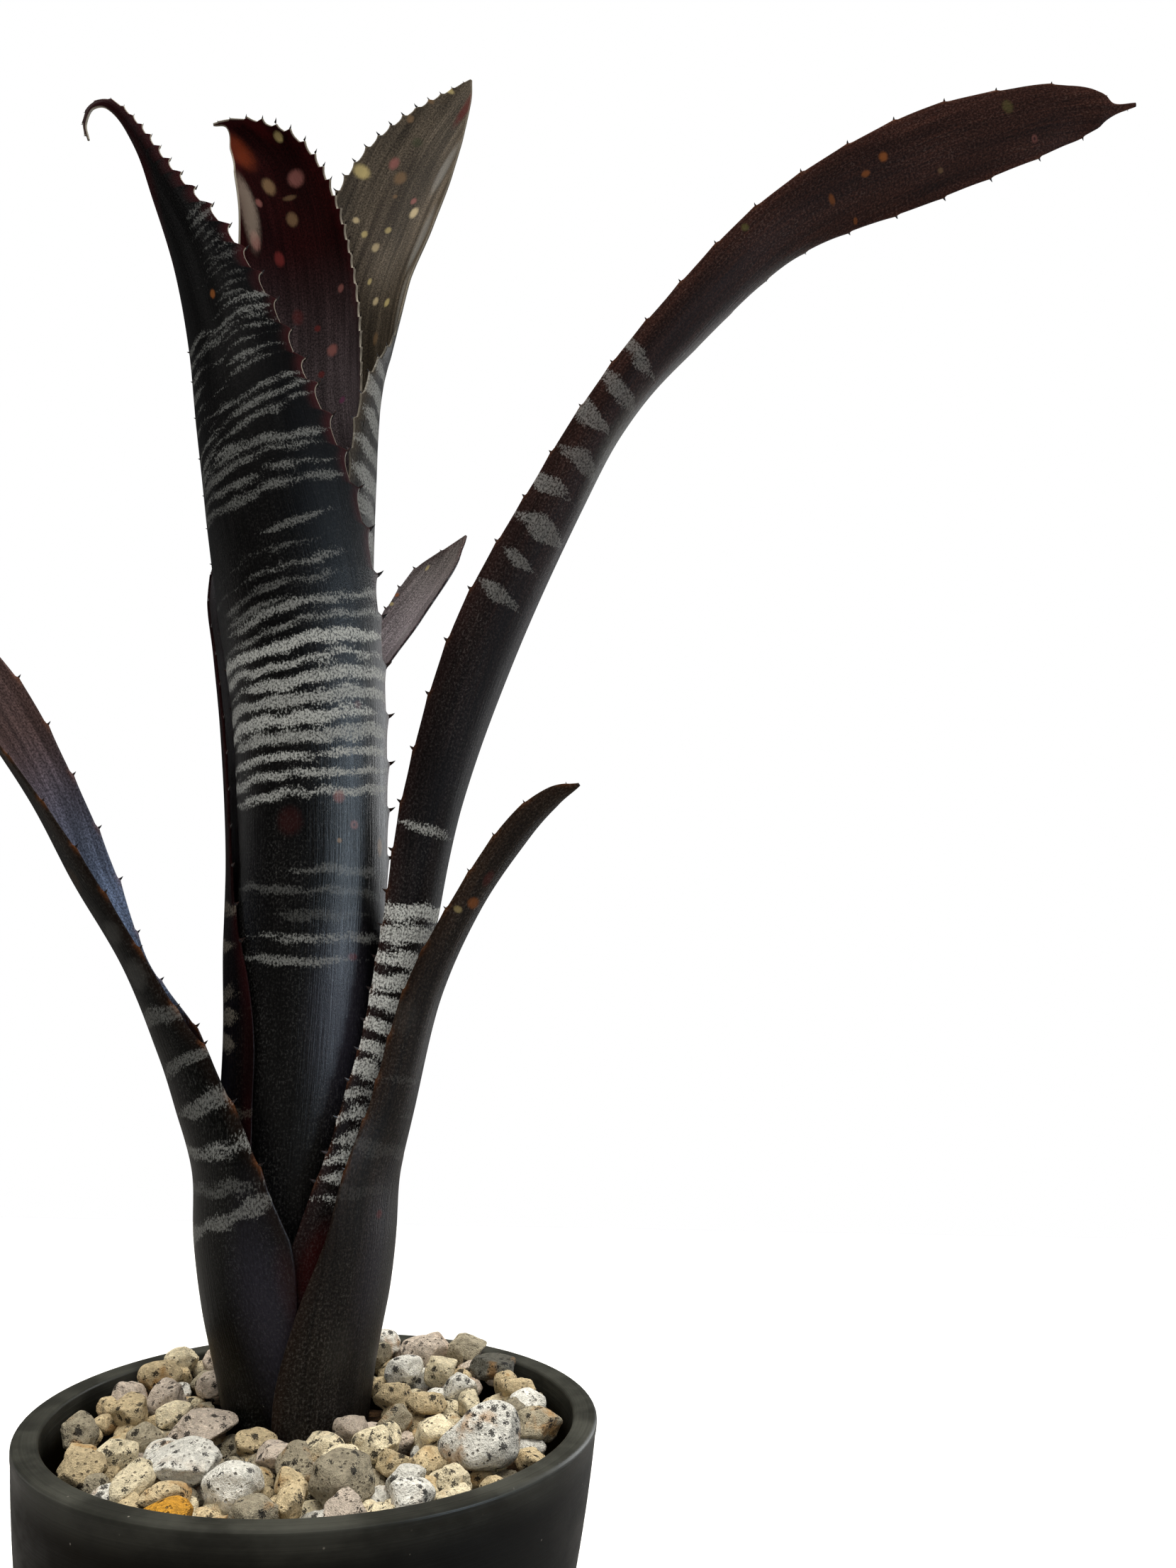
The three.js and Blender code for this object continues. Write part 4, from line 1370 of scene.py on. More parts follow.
            (155, -23, 321, 12.2, 25, -85, -25),
            (183, -25, 331, 10.4, 22, -90, -15),
            (196, -25.5, 334, 7.8, 22, -90, -15),
            (203, -26, 334.5, 5, 22, -90, -15),
            (207, -26, 334.5, 1.6, 22, -90, -15),
            (212.5, -26.5, 335.5, 0.6, 20, -90, -10),
        ),
        Teeth(60, ((60, 7), (120, 8), (170, 14), (420, 14), (455, 8)), 1.3, 0.4),
        LeafFinish(
            outer_low=0x171313,
            outer_high=0x341D16,
            silver=0xE2E4E0,
            inner_low=0x100D0E,
            inner_high=0x140C0B,
            turn=(0.3, 0.9),
            margin=0x4A2016,
            tint=0.12,
            speckle=0.06,
            streaks=0.25,
            gloss=0.6,
            specular=0.05,
            warmth=0.12,
        ),
        bands=(
            Bands(row(60, 84, 4.6), 3.2, 0.8, -22, 22, ragged=0.15),
            Bands(row(88, 132, 5.8), 4.6, 1.0, -24, 24, ragged=0.12),
            Bands((149.5,), 4.2, 0.6, -15, 2, ragged=0.2),
            Bands(row(210, 290, 10.6), 5.2, 0.24, -16, 2, slant=-0.15, ragged=0.25),
        ),
        spots=(
            Spot(371, -4, 2.4, 2.4, Mark.ORANGE, 0.8),
            Spot(365, -2, 2.4, 1.6, Mark.ORANGE, 0.7),
            Spot(354, 0, 1.6, 2.8, Mark.ORANGE, 0.6),
            Spot(359, 8, 1.2, 2, Mark.ORANGE, 0.6),
            Spot(330, -7, 2, 2, Mark.OLIVE, 0.5),
            Spot(412, 5, 1.6, 2.1, Mark.PINK, 0.6),
            Spot(412, 5, 0.7, 0.9, Mark.DARK, 0.8),
            Spot(385, 5, 1.5, 1.5, Mark.TAN, 0.6),
            Spot(407, -5, 2.8, 3.7, Mark.OLIVE, 0.3),
            Spot(44, -16, 20, 12, Mark.BLOOD, 0.35),
            # soft grey strips along the lower edge: a painted highlight
            Spot(262, 5, 44, 12, Mark.GREY, 0.8, soft=True),
            Spot(284, 10, 44, 11, Mark.GREY, 0.9, soft=True),
            Spot(306, 12, 40, 9, Mark.GREY, 0.9, soft=True),
            Spot(330, 11, 36, 8, Mark.GREY, 0.5, soft=True),
        ),
    ),
    Leaf(
        "leaf_arching_left",
        6.2,
        ((-12, 90, -165), (12, 92, -165), (30, 92.6, -165), (52, 70.2, -165)),
        (
            (-31.3, -8.1, 66, 21.9, 77.5, -163, -20.5),
            (-37.4, -7, 80, 18.6, 73.5, -165, -15.8),
            (-46.6, -9.9, 100.5, 11.3, 65.3, -163, -28.9),
            (-61, -9.3, 122, 13.4, 72, -179, -47.2),
            (-72.5, -10, 143, 11.8, 72, -203, -40),
            (-87.3, -12, 166, 12, 63, -225, -44),
            (-102.5, -14, 185, 10, 53, -230, -50),
            (-118, -16, 200, 6.4, 46, -230, -55),
            (-131, -18, 209, 0.7, 39, -226, -58),
        ),
        Teeth(55, ((55, 11), (120, 15), (300, 13)), 1.0, 0.5),
        LeafFinish(
            outer_low=0x070706,
            outer_high=0x24201B,
            # blue inner ground near the foot: a painted sheen
            inner_low=0x54627A,
            inner_high=0x4A3A38,
            turn=(0.5, 0.74),
            margin=0x3A2418,
            tint=0.2,
            speckle=0.08,
            gloss=0.36,
            specular=0.1,
            warmth=0.25,
        ),
        bands=(
            Bands((48.6,), 3.2, 0.4, -10, 36, slant=0.38),
            Bands((71, 80), 3.6, 0.42, 3, 38, ragged=0.5),
            Bands((62.5,), 2.0, 0.18, 0, 28, ragged=0.5),
            Bands((89, 104), 3.6, 0.22, 3, 22, ragged=0.5),
        ),
        spots=(
            Spot(115, 7, 7, 6, Mark.GREY, 0.14),
            Spot(126, 7, 6, 5, Mark.GREY, 0.12),
            Spot(143, 6, 7, 5, Mark.TAN, 0.1),
            Spot(36, 33, 22, 6, Mark.BLOOD, 0.14),
            # soft bluish haze: a painted sheen
            Spot(30, 27, 62, 17, Mark.DUSK, 0.36, soft=True),
            # full dark cover on the inner face: painted shade
            Spot(92, -15, 26, 12, Mark.DARK, 1.0, Face.INNER),
        ),
    ),
    Leaf(
        "leaf_short_right",
        7.3,
        ((-12, 60, -35), (2, 56, -35), (18, 43, -35), (36, 30, -33), (52, 22, -33)),
        (
            (24.5, -13, 68, 9.5, 45, -32, -8),
            (31, -14.5, 95, 8.5, 55, -32, -18),
            (40.5, -16, 117, 6.6, 55, -38, -32),
            (51.5, -18, 134.5, 6, 50, -48, -42),
            (59.5, -19, 143.5, 4, 45, -55, -45),
            (66, -20, 147.5, 0.5, 40, -60, -45),
        ),
        Teeth(60, ((60, 11), (190, 10)), 1.2, 0.4),
        LeafFinish(
            outer_low=0x1C1917,
            outer_high=0x241A12,
            inner_low=0x100D0E,
            inner_high=0x140F0C,
            margin=0x3A2216,
            tint=0.2,
            speckle=0.1,
            specular=0.08,
            warmth=0.15,
        ),
        bands=(Bands((62, 71, 79, 88), 3.0, 0.06, -16, 16, ragged=0.6),),
        spots=(
            Spot(134, -1, 2.8, 3.3, Mark.ORANGE, 0.7),
            Spot(131, -4, 1.6, 2.1, Mark.YELLOW, 0.5),
            Spot(141, -1, 4.2, 2.3, Mark.RED, 0.3),
            Spot(56, 2, 2.1, 2.1, Mark.RED, 0.5),
            # soft bluish haze: a painted sheen
            Spot(45, 2, 46, 12, Mark.DUSK, 0.2, soft=True),
            Spot(103, -6, 8, 6, Mark.GREY, 0.05),
            Spot(26, -5, 12, 7, Mark.GREY, 0.05),
        ),
    ),
)


# Stones


class StoneTone(Enum):
    """Ground colours of the pumice."""

    WHITE = 0xEDEAE0
    PINK = 0xCFC0B0
    CREAM = 0xEBDDBC
    BEIGE = 0xD2BE98
    GREY = 0xA69C86
    OCHRE = 0xD49A38
    DARK = 0x5C5A52


# Placed stones: X, Y, height over the rim, length, thickness and ground colour
PLACED_STONES = (
    (-21, -28, -2, 17.5, 9, StoneTone.WHITE),
    (-25, -7, -2, 16.5, 8, StoneTone.PINK),
    (40, -17, 0, 17, 14, StoneTone.WHITE),
    (13, -37, -2, 16, 10, StoneTone.GREY),
    (38, 34, 0, 15, 8, StoneTone.DARK),
    (-18, -51, -3.5, 10, 7, StoneTone.OCHRE),
    (16, -14, -1.8, 12, 9, StoneTone.CREAM),
    (-52, -9, -3, 11, 8, StoneTone.GREY),
    (27.5, -42, -3, 11, 9, StoneTone.WHITE),
    (20, 43, 1, 14, 11, StoneTone.PINK),
    (30, 44, 1, 12, 10, StoneTone.GREY),
)

# Ground colours of the drawn stones: a colour that stands here more often is drawn more often
FILL_TONES = [StoneTone[name] for name in "CREAM BEIGE BEIGE GREY CREAM PINK WHITE BEIGE".split()]

# A stone's form: order of its corners, sharpness of corners and cuts, angle at the poles, shrink
CORNER_ORDER = (11, 5, 0, 1, 7, 10, 9, 4, 2, 6, 8, 3)
CORNER_POWER = 9
CUT_POWER = 34
STONE_POLE = 0.06
STONE_SHRINK = 0.97

# Waves of a stone's skin: turns over the stone and share of its radius
STONE_WAVES = ((3.0, 0.04), (5.0, 0.03), (8.0, 0.016), (11.0, 0.014), (15.0, 0.012))


class Draws:
    """The minimal standard generator: state times 16807, modulo 2147483647."""

    def __init__(self, seed: int) -> None:
        """Starts at a seed."""
        self.state = seed

    def __call__(self) -> float:
        """The next draw between 0 and 1."""
        self.state = (self.state * 16807) % 2147483647
        return self.state / 2147483647


@dataclass
class Topdressing:
    """The pumice layer: large placed stones, a ring filled by a seeded draw, small ones under them.

    Attributes:
        seed: seed of the draw that fills the ring.
        tries: how many places are tried.
        smallest: least length of a drawn stone, in millimetres.
        largest: greatest length of a drawn stone.
        crowding: how near two stones may lie, as a share of the sum of their half lengths.
        flatness: thickness of a drawn stone as a share of its length.
        corner: how far out the nearest corner of a stone lies.
        corner_draw: what a draw adds to that.
        breadth: least breadth of a stone as a share of its length.
        planes: how many flat faces a stone has.
        cut: least and greatest distance of a flat face from the middle, in shares of the radius.
        skew: power of the draw of a length, which makes small stones the commoner ones.
        under_pitch: spacing of the small stones' rings.
        under_spacing: spacing of the small stones in a ring.
        under_length: least and greatest length of a small stone.
        under_depth: how far the small stones lie under the drawn ones.
        wall_lift: how much higher they lie by the pot's wall.
    """

    seed: int = 29
    tries: int = 2600
    smallest: float = 9.5
    largest: float = 14.0
    crowding: float = 0.84
    flatness: float = 0.72
    corner: float = 0.86
    corner_draw: float = 0.34
    breadth: float = 0.72
    planes: int = 13
    cut: tuple[float, float] = (0.6, 0.98)
    skew: float = 1.6
    under_pitch: float = 6.4
    under_spacing: float = 7.2
    under_length: tuple[float, float] = (6.5, 10.0)
    under_depth: float = 3.6
    wall_lift: float = 2.6

    @staticmethod
    def level(y: float) -> float:
        """Height of the layer over the rim, which rises smoothly towards the back."""
        return STONE_LEVEL + STONE_RISE * float(smooth(np.array(y), RISE_FROM, RISE_TO))

    def places(self) -> np.ndarray:
        """The placed stones, and drawn ones wherever they keep clear of the others, plant and wall.

        Returns:
            Rows of X, Y, height over the rim, length and thickness, the placed stones first.
        """
        draw = Draws(self.seed)
        stones = [list(map(float, stone[:5])) for stone in PLACED_STONES]
        for _ in range(self.tries):
            reach = STONE_RING * math.sqrt(draw())
            turn = 2 * math.pi * draw()
            length = self.smallest + (self.largest - self.smallest) * draw() ** self.skew
            x, y, lift = reach * math.cos(turn), reach * math.sin(turn), draw()
            clear = all(
                math.hypot(x - s[0], y - s[1]) > self.crowding * (length + s[3]) / 2 for s in stones
            )
            from_plant = math.hypot(x - PLANT_PLACE[0], y - PLANT_PLACE[1])
            if clear and from_plant > PLANT_RING and STONE_RING + 0.5 - reach > length * 0.5:
                stones.append([x, y, self.level(y) + lift, length, length * self.flatness])
        return np.array(stones)

    def pebbles(self, stones: np.ndarray, draw: Draws, rows: int, columns: int, seed: int) -> np.ndarray:
        """Rings of points for each stone.

        In a direction d a stone's radius r blends its twelve corner pushes p, as
        sum(p max(0, c.d)^a) / sum(max(0, c.d)^a) with a = CORNER_POWER, is cut by soft planes, as
        (sum(max(0, n.d / h)^b) + r^-b)^(-1/b) with b = CUT_POWER, and waves a little.

        Args:
            stones: rows of X, Y, height, length and thickness.
            draw: draws of the corners, the breadth and the turns, as in the part.
            rows: rings of points from pole to pole.
            columns: points in a ring.
            seed: seed of the planes and waves.

        Returns:
            Points, stones by rows by columns by 3, in millimetres.
        """
        golden = (1 + math.sqrt(5)) / 2
        corners = np.array(
            [(s * a, t * b, 0) for b, t in ((golden, 1), (golden, -1)) for a, s in ((1, -1), (1, 1))]
            + [(0, s, t * golden) for t in (1, -1) for s in (-1, 1)]
            + [(t * golden, 0, s) for t in (1, -1) for s in (-1, 1)],
            float,
        )[list(CORNER_ORDER)]
        corners /= np.linalg.norm(corners, axis=1, keepdims=True)
        polar = np.linspace(STONE_POLE, math.pi - STONE_POLE, rows)[:, None]
        around = np.linspace(0.0, 2 * math.pi, columns, endpoint=False)[None, :]
        ways = np.stack(
            [np.sin(polar) * np.cos(around), np.sin(polar) * np.sin(around), np.cos(polar) + 0 * around], -1
        )
        weight = np.maximum(ways @ corners.T, 0.0) ** CORNER_POWER
        chance = np.random.default_rng(seed)
        result = []
        for x, y, level, length, thickness in stones:
            push = np.array([self.corner + self.corner_draw * draw() for _ in range(12)])
            breadth = self.breadth + (1 - self.breadth) * draw()
            roll, turn = math.pi * draw(), 2 * math.pi * draw()
            radius = STONE_SHRINK * (weight @ push) / weight.sum(-1)
            normal = chance.normal(size=(self.planes, 3))
            normal /= np.linalg.norm(normal, axis=1, keepdims=True)
            reach = chance.uniform(*self.cut, self.planes)
            cut = (np.maximum(ways @ normal.T / reach, 0.0) ** CUT_POWER).sum(-1)
            radius = (cut + radius**-CUT_POWER) ** (-1 / CUT_POWER)
            for pace, depth in STONE_WAVES:
                wave = chance.normal(size=3)
                wave *= pace / np.linalg.norm(wave)
                radius = radius * (1 + depth * np.cos(ways @ wave + chance.uniform(0, 6.28)))
            points = ways * radius[..., None]
            points = points @ np.array(Matrix.Rotation(roll, 3, "X")).T
            points = points * np.array([length / 2, length / 2 * breadth, thickness / 2])
            points = points @ np.array(Matrix.Rotation(turn, 3, "Z")).T
            result.append(points + np.array([x, y, POT_HEIGHT + level]))
        return np.array(result)

    def gathered(self, rings: np.ndarray, tones: list[StoneTone], seed: int) -> Surface:
        """All stones of one layer as one surface, each with its ground colour and its stains.

        Args:
            rings: points of the stones, as pebbles gives them.
            tones: ground colour of each stone.
            seed: seed of the shades and stains.

        Returns:
            The stones with the numbers that their material reads.
        """
        chance = np.random.default_rng(seed)
        parts = []
        for ring, ground in zip(rings, tones):
            surface = Surface.tube(ring)
            colour = np.array(tone(ground.value))
            colour[:3] *= chance.uniform(0.82, 1.1)
            surface.numbers["ground"] = np.tile(colour, (len(surface.points), 1))
            surface.numbers["stain"] = np.full(len(surface.points), chance.uniform(0.0, 1.0))
            parts.append(surface)
        offset = np.cumsum([0] + [len(p.points) for p in parts])
        return Surface(
            np.vstack([p.points for p in parts]),
            np.vstack([p.faces + start for p, start in zip(parts, offset)]),
            np.concatenate([p.slots for p in parts]),
            {name: np.concatenate([p.numbers[name] for p in parts]) for name in parts[0].numbers},
        )

    def under_places(self) -> np.ndarray:
        """A lower layer of smaller stones, on rings round the pot, which hides the bed.

        Returns:
            Rows of X, Y, height over the rim, length and thickness.
        """
        rows = []
        chance = np.random.default_rng(5)
        outermost = STONE_RING - 4.0
        for reach in np.arange(6.0, STONE_RING, self.under_pitch):
            count = int(2 * math.pi * reach / self.under_spacing)
            for k in range(count):
                turn = 2 * math.pi * (k + chance.uniform(-0.3, 0.3)) / count
                r = min(reach + chance.uniform(-1.5, 1.5), outermost)
                x, y = r * math.cos(turn), r * math.sin(turn)
                if math.hypot(x - PLANT_PLACE[0], y - PLANT_PLACE[1]) > PLANT_RING - 1.5:
                    length = chance.uniform(*self.under_length)
                    lift = self.wall_lift * float(smooth(np.array(r), outermost - 5.0, outermost))
                    level = self.level(y) + lift - self.under_depth + chance.uniform(-0.6, 0.8)
                    rows.append([x, y, level, length, length * 0.75])
        return np.array(rows)

    def build(self, finish: "StoneFinish") -> None:
        """Makes the three groups of stones that stand for the pumice layer.

        Args:
            finish: the stones' finish.
        """
        material = finish.material()
        stones, under = self.places(), self.under_places()
        large, fill = np.split(stones, [len(PLACED_STONES)])
        draw = Draws(self.seed + 1)
        few, many = len(large), len(fill)
        placed_tones = [stone[5] for stone in PLACED_STONES]
        groups = (
            ("pumice_large", large, draw, (56, 84), placed_tones, (few, few)),
            ("pumice_fill", fill, draw, (26, 36), self.fill_tones(many), (many, many)),
            ("pumice_under", under, Draws(77), (14, 20), self.fill_tones(len(under)), (3, 4)),
        )
        for name, rows, source, (high, wide), tones, (form_seed, tone_seed) in groups:
            rings = self.pebbles(rows, source, high, wide, form_seed)
            surface = self.gathered(rings, tones, tone_seed)
            surface.build(name, [material], "pumice_topdressing", "pumice")

    @staticmethod
    def fill_tones(count: int) -> list[StoneTone]:
        """Ground colours of drawn stones, by a seeded choice."""
        chance = np.random.default_rng(count)
        return [FILL_TONES[k] for k in chance.integers(0, len(FILL_TONES), count)]


@dataclass(frozen=True)
class StoneFinish:
    """Pumice: chalky ground with black specks, painted shade in its pits and rusty stains.

    Attributes:
        speck: colour of the specks.
        pit: colour of the painted shade in the pits.
        rust: colour of the stains.
        rough: roughness all over.
    """

    speck: int = 0x1E1C1C
    pit: int = 0x5A5044
    rust: int = 0xB07A2C
    rough: float = 0.92

    def material(self) -> bpy.types.Material:
        """The pumice's material, from each stone's own ground and noise in Object coordinates.

        Returns:
            The material.
        """
        g = Graph("pumice")
        place = g.place()
        ground, stain = g.attribute("ground", "Color"), g.attribute("stain")
        blotch = g.noise(place, 0.16, 3.0, 0.55)
        dense = g.noise(place, 0.09, 1.0, 0.5)
        mottle = g.noise(place, 0.7, 4.0, 0.65)
        fine = g.noise(place, 3.2, 3.0, 0.6)
        colour = g.shade(ground, g.step(mottle, 0.3, 0.7, 0.8, 1.3))
        colour = g.shade(colour, g.step(fine, 0.3, 0.7, 0.88, 1.08))
        # rust in blotches, on some stones more than on others
        rusty = g.times(g.step(blotch, 0.52, 0.68), g.step(stain, 0.35, 0.8))
        colour = g.mix(g.times(rusty, 0.6), colour, tone(self.rust))
        # pores where the mottle is light, painted darker as the shade inside them
        hollow, _ = g.cells(place, 0.85)
        pit = g.times(g.step(hollow, 0.1, 0.34, 1.0, 0.0), g.step(mottle, 0.42, 0.6))
        colour = g.mix(g.times(pit, 0.75), colour, tone(self.pit))
        # black specks of many sizes, denser in some places
        point, which = g.cells(place, 0.42)
        first, second, _ = g.split(which)
        chosen = g.step(g.plus(first, g.step(dense, 0.35, 0.65, -0.3, 0.3)), 0.45, 0.5)
        size = g.plus(point, g.swing(fine, 1.1))
        size = g.plus(size, g.times(second, 0.22))
        speck = g.times(g.step(size, 0.36, 0.46, 1.0, 0.0), chosen)
        colour = g.mix(g.times(speck, 0.9), colour, tone(self.speck))
        bumps = g.plus(g.times(mottle, 1.2), g.times(fine, 0.6))
        g.finish(colour, self.rough, g.math("SUBTRACT", bumps, pit), 1.0, 0.2)
        return g.material


# Pot and filling


@dataclass(frozen=True)
class PotFinish:
    """Charcoal plastic, dusty, with fine rings from its mould and its use.

    Attributes:
        wall: colour of the wall.
        lip: colour of the lip, painted lighter as the light falls on its top.
        dust: colour of the dust specks.
        rough: roughness of the clean wall.
        lit_band: how far under the rim the painted lighter lip begins, and where it is full.
    """

    wall: int = 0x0A0702
    lip: int = 0x34342F
    dust: int = 0x9A948A
    rough: float = 0.5
    lit_band: tuple[float, float] = (9.0, 0.5)

    def material(self) -> bpy.types.Material:
        """The pot's material: rings by radius and height, a lip painted lighter where light falls on it,
        specks of dust.

        Returns:
            The material.
        """
        g = Graph("pot_charcoal")
        place = g.place()
        x, y, z = g.split(place)
        radius = g.math("POWER", g.plus(g.times(x, x), g.times(y, y)), 0.5)
        slow = g.noise(place, (0.02, 0.02, 0.05), 2.0)
        rings = g.noise(g.joined(g.times(radius, 4.0), g.times(z, 2.2), slow), 1.0, 3.0, 0.7)
        cloud = g.noise(place, (0.05, 0.05, 0.09), 4.0, 0.6)
        # painted light: the lip is lighter where light falls on its top
        high = g.step(z, *(POT_HEIGHT - depth for depth in self.lit_band))
        colour = g.mix(high, tone(self.wall), tone(self.lip))
        colour = g.shade(colour, g.step(cloud, 0.34, 0.66, 0.6, 1.4))
        colour = g.shade(colour, g.step(rings, 0.4, 0.7, 0.92, 1.25))
        fleck, which = g.cells(place, 0.35)
        chosen = g.step(g.split(which)[1], 0.86, 0.9)
        fleck = g.times(g.step(fleck, 0.04, 0.1, 1.0, 0.0), chosen)
        colour = g.mix(g.times(fleck, 0.5), colour, tone(self.dust))
        rough = g.step(cloud, 0.3, 0.7, self.rough - 0.06, self.rough + 0.14)
        rough = g.math("SUBTRACT", rough, g.times(high, 0.12))
        g.finish(colour, rough, rings, 0.06, 0.1)
        return g.material


@dataclass
class Pot:
    """The round pot: one turned profile with rounded edges, drilled through its floor.

    Attributes:
        finish: its material.
    """

    finish: PotFinish = PotFinish()

    @staticmethod
    def outside(height: np.ndarray) -> np.ndarray:
        """Outer radius: R (1 - taper d - curve d^2) with d = (pot height - height) / R."""
        depth = (POT_HEIGHT - height) / RIM_RADIUS
        return RIM_RADIUS * (1 - WALL_TAPER * depth - WALL_CURVE * depth * depth)

    def inside(self, height: np.ndarray) -> np.ndarray:
        """Inner radius: the outer one less a wall that grows thicker towards the rim."""
        return self.outside(height) - (BASE_WALL + (RIM_WALL - BASE_WALL) * height / POT_HEIGHT)

    def profile(self) -> np.ndarray:
        """The pot's skin as one line, with quarter circles at the foot and on both sides of the lip.

        Returns:
            Rows of radius and height, from the middle of the underside to that of the floor.
        """
        quarter = np.linspace(0.0, math.pi / 2, 7)
        early, late = 1 - np.sin(quarter), 1 - np.cos(quarter)
        foot = self.outside(np.array(0.0))
        wall = np.linspace(FOOT_ROUND, POT_HEIGHT - LIP_ROUND - LIP_DEPTH, 60)
        groove = POT_HEIGHT - LIP_DEPTH - 0.6
        inner_rim = float(self.inside(np.array(POT_HEIGHT)))
        heights = np.linspace(POT_HEIGHT - LIP_ROUND, FLOOR_THICKNESS, 40)
        parts = [
            [(POLE_RADIUS, 0.0), (foot * 0.5, 0.0)],
            np.stack([foot - FOOT_ROUND * early, FOOT_ROUND * late], -1),
            np.stack([self.outside(wall), wall], -1)[1:],
            [(self.outside(np.array(groove)), groove), (RIM_RADIUS - 0.1, groove + 0.5)],
            np.stack([RIM_RADIUS - LIP_ROUND * late, POT_HEIGHT - LIP_ROUND * early], -1),
            np.stack([inner_rim + LIP_ROUND * early, POT_HEIGHT - LIP_ROUND * late], -1),
            np.stack([self.inside(heights), heights], -1)[1:],
            [(POLE_RADIUS, FLOOR_THICKNESS)],
        ]
        return np.vstack([np.array(part, float) for part in parts])

    def build(self) -> None:
        """Turns the profile about the pot's axis and drills the drain holes."""
        profile = self.profile()
        turn = np.linspace(0.0, 2 * math.pi, POT_COLUMNS, endpoint=False)
        radius, height = profile[:, :1], profile[:, 1:]
        rings = np.stack([radius * np.cos(turn), radius * np.sin(turn), height + 0 * turn], -1)
        piece = Surface.tube(rings).build("pot_fine", [self.finish.material()], "pot", "pot")
        self.drill(piece)

    @staticmethod
    def drill(piece: bpy.types.Object) -> None:
        """Cuts the drain holes through the floor with round cutters, then removes the cutters.

        Args:
            piece: the pot.
        """
        turn = np.linspace(0.0, 2 * math.pi, CUTTER_SIDES, endpoint=False)
        levels = np.array([-CUTTER_REACH, 2.0, FLOOR_THICKNESS + CUTTER_REACH])[:, None]
        cutters = []
        for k in range(DRAIN_HOLES):
            way = 2 * math.pi * k / DRAIN_HOLES
            x, y = DRAIN_CIRCLE * math.cos(way), DRAIN_CIRCLE * math.sin(way)
            ring = [x + DRAIN_RADIUS * np.cos(turn), y + DRAIN_RADIUS * np.sin(turn)]
            shape = Surface.tube(np.stack([*(part + 0 * levels for part in ring), levels + 0 * turn], -1))
            mesh = bpy.data.meshes.new("drain_cutter")
            mesh.from_pydata((shape.points * METRES).tolist(), [], shape.faces.tolist())
            cutter = bpy.data.objects.new("drain_cutter", mesh)
            bpy.context.scene.collection.objects.link(cutter)
            hole = piece.modifiers.new("drain", "BOOLEAN")
            hole.object = cutter
            hole.operation = "DIFFERENCE"
            hole.solver = "EXACT"
            cutters.append(cutter)
        graph = bpy.context.evaluated_depsgraph_get()
        drilled = bpy.data.meshes.new_from_object(piece.evaluated_get(graph))
        piece.modifiers.clear()
        piece.data = drilled
        for cutter in cutters:
            bpy.data.objects.remove(cutter)


@dataclass(frozen=True)
class EarthFinish:
    """Potting mix: dark bark and peat with lighter fibres.

    Attributes:
        dark: colour of the peat.
        light: colour of the bark.
    """

    dark: int = 0x1C140E
    light: int = 0x4E3A28

    def material(self) -> bpy.types.Material:
        """The mix's material, from cells and noise in Object coordinates.

        Returns:
            The material.
        """
        g = Graph("potting_mix")
        place = g.place()
        bits, which = g.cells(place, (0.3, 0.3, 0.5))
        fibre = g.noise(place, (0.4, 0.4, 1.6), 4.0, 0.7)
        share = g.times(g.step(g.split(which)[0], 0.3, 0.9), g.step(fibre, 0.35, 0.7))
        colour = g.mix(share, tone(self.dark), tone(self.light))
        g.finish(colour, 0.95, g.plus(fibre, bits), 1.0, 0.2)
        return g.material


@dataclass(frozen=True)
class StemFinish:
    """The crown under the leaves: pale green-brown with the scars of old leaves.

    Attributes:
        pale: colour between the scars.
        scar: colour of the scars.
    """

    pale: int = 0x6D6A45
    scar: int = 0x3A2E20

    def material(self) -> bpy.types.Material:
        """The stem's material: scars as rings by height, broken up by noise.

        Returns:
            The material.
        """
        g = Graph("stem_crown")
        place = g.place()
        broken = g.noise(place, (0.3, 0.3, 1.4), 3.0)
        colour = g.mix(g.step(broken, 0.42, 0.62), tone(self.pale), tone(self.scar))
        g.finish(colour, g.step(broken, 0.3, 0.7, 0.6, 0.8), broken, 0.4, 0.3)
        return g.material


def dress(node: str, material: bpy.types.Material) -> None:
    """Gives every material slot of a CAD node that stays visible a new material.

    Args:
        node: name of the CAD node.
        material: its new material.
    """
    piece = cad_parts[node]
    for place in range(max(1, len(piece.material_slots))):
        if place < len(piece.material_slots):
            piece.material_slots[place].material = material
        else:
            piece.data.materials.append(material)
    LOG.info("%s: dressed with %s", node, material.name)


# Studio


@dataclass(frozen=True)
class Softbox:
    """A rectangular area light.

    Attributes:
        place: its middle, in millimetres.
        size: its width and height.
        power: its power in watts.
        colour: its colour.
        glossy: whether glossy surfaces mirror it.
        diffuse: whether it lights up surfaces.
    """

    place: tuple[float, float, float]
    size: tuple[float, float]
    power: float
    colour: tuple[float, float, float]
    glossy: bool = True
    diffuse: bool = True

    def build(self, name: str, target: Vector) -> None:
        """Hangs the light up and turns it to the target.

        Args:
            name: name of the light.
            target: the place it faces, in metres.
        """
        data = bpy.data.lights.new(name, "AREA")
        data.shape = "RECTANGLE"
        data.size, data.size_y = (length * METRES for length in self.size)
        data.energy = self.power
        data.color = self.colour
        lamp = bpy.data.objects.new(name, data)
        lamp.location = Vector(self.place) * METRES
        lamp.rotation_euler = (target - lamp.location).to_track_quat("-Z", "Y").to_euler()
        lamp.visible_glossy = self.glossy
        lamp.visible_diffuse = self.diffuse
        bpy.context.scene.collection.objects.link(lamp)


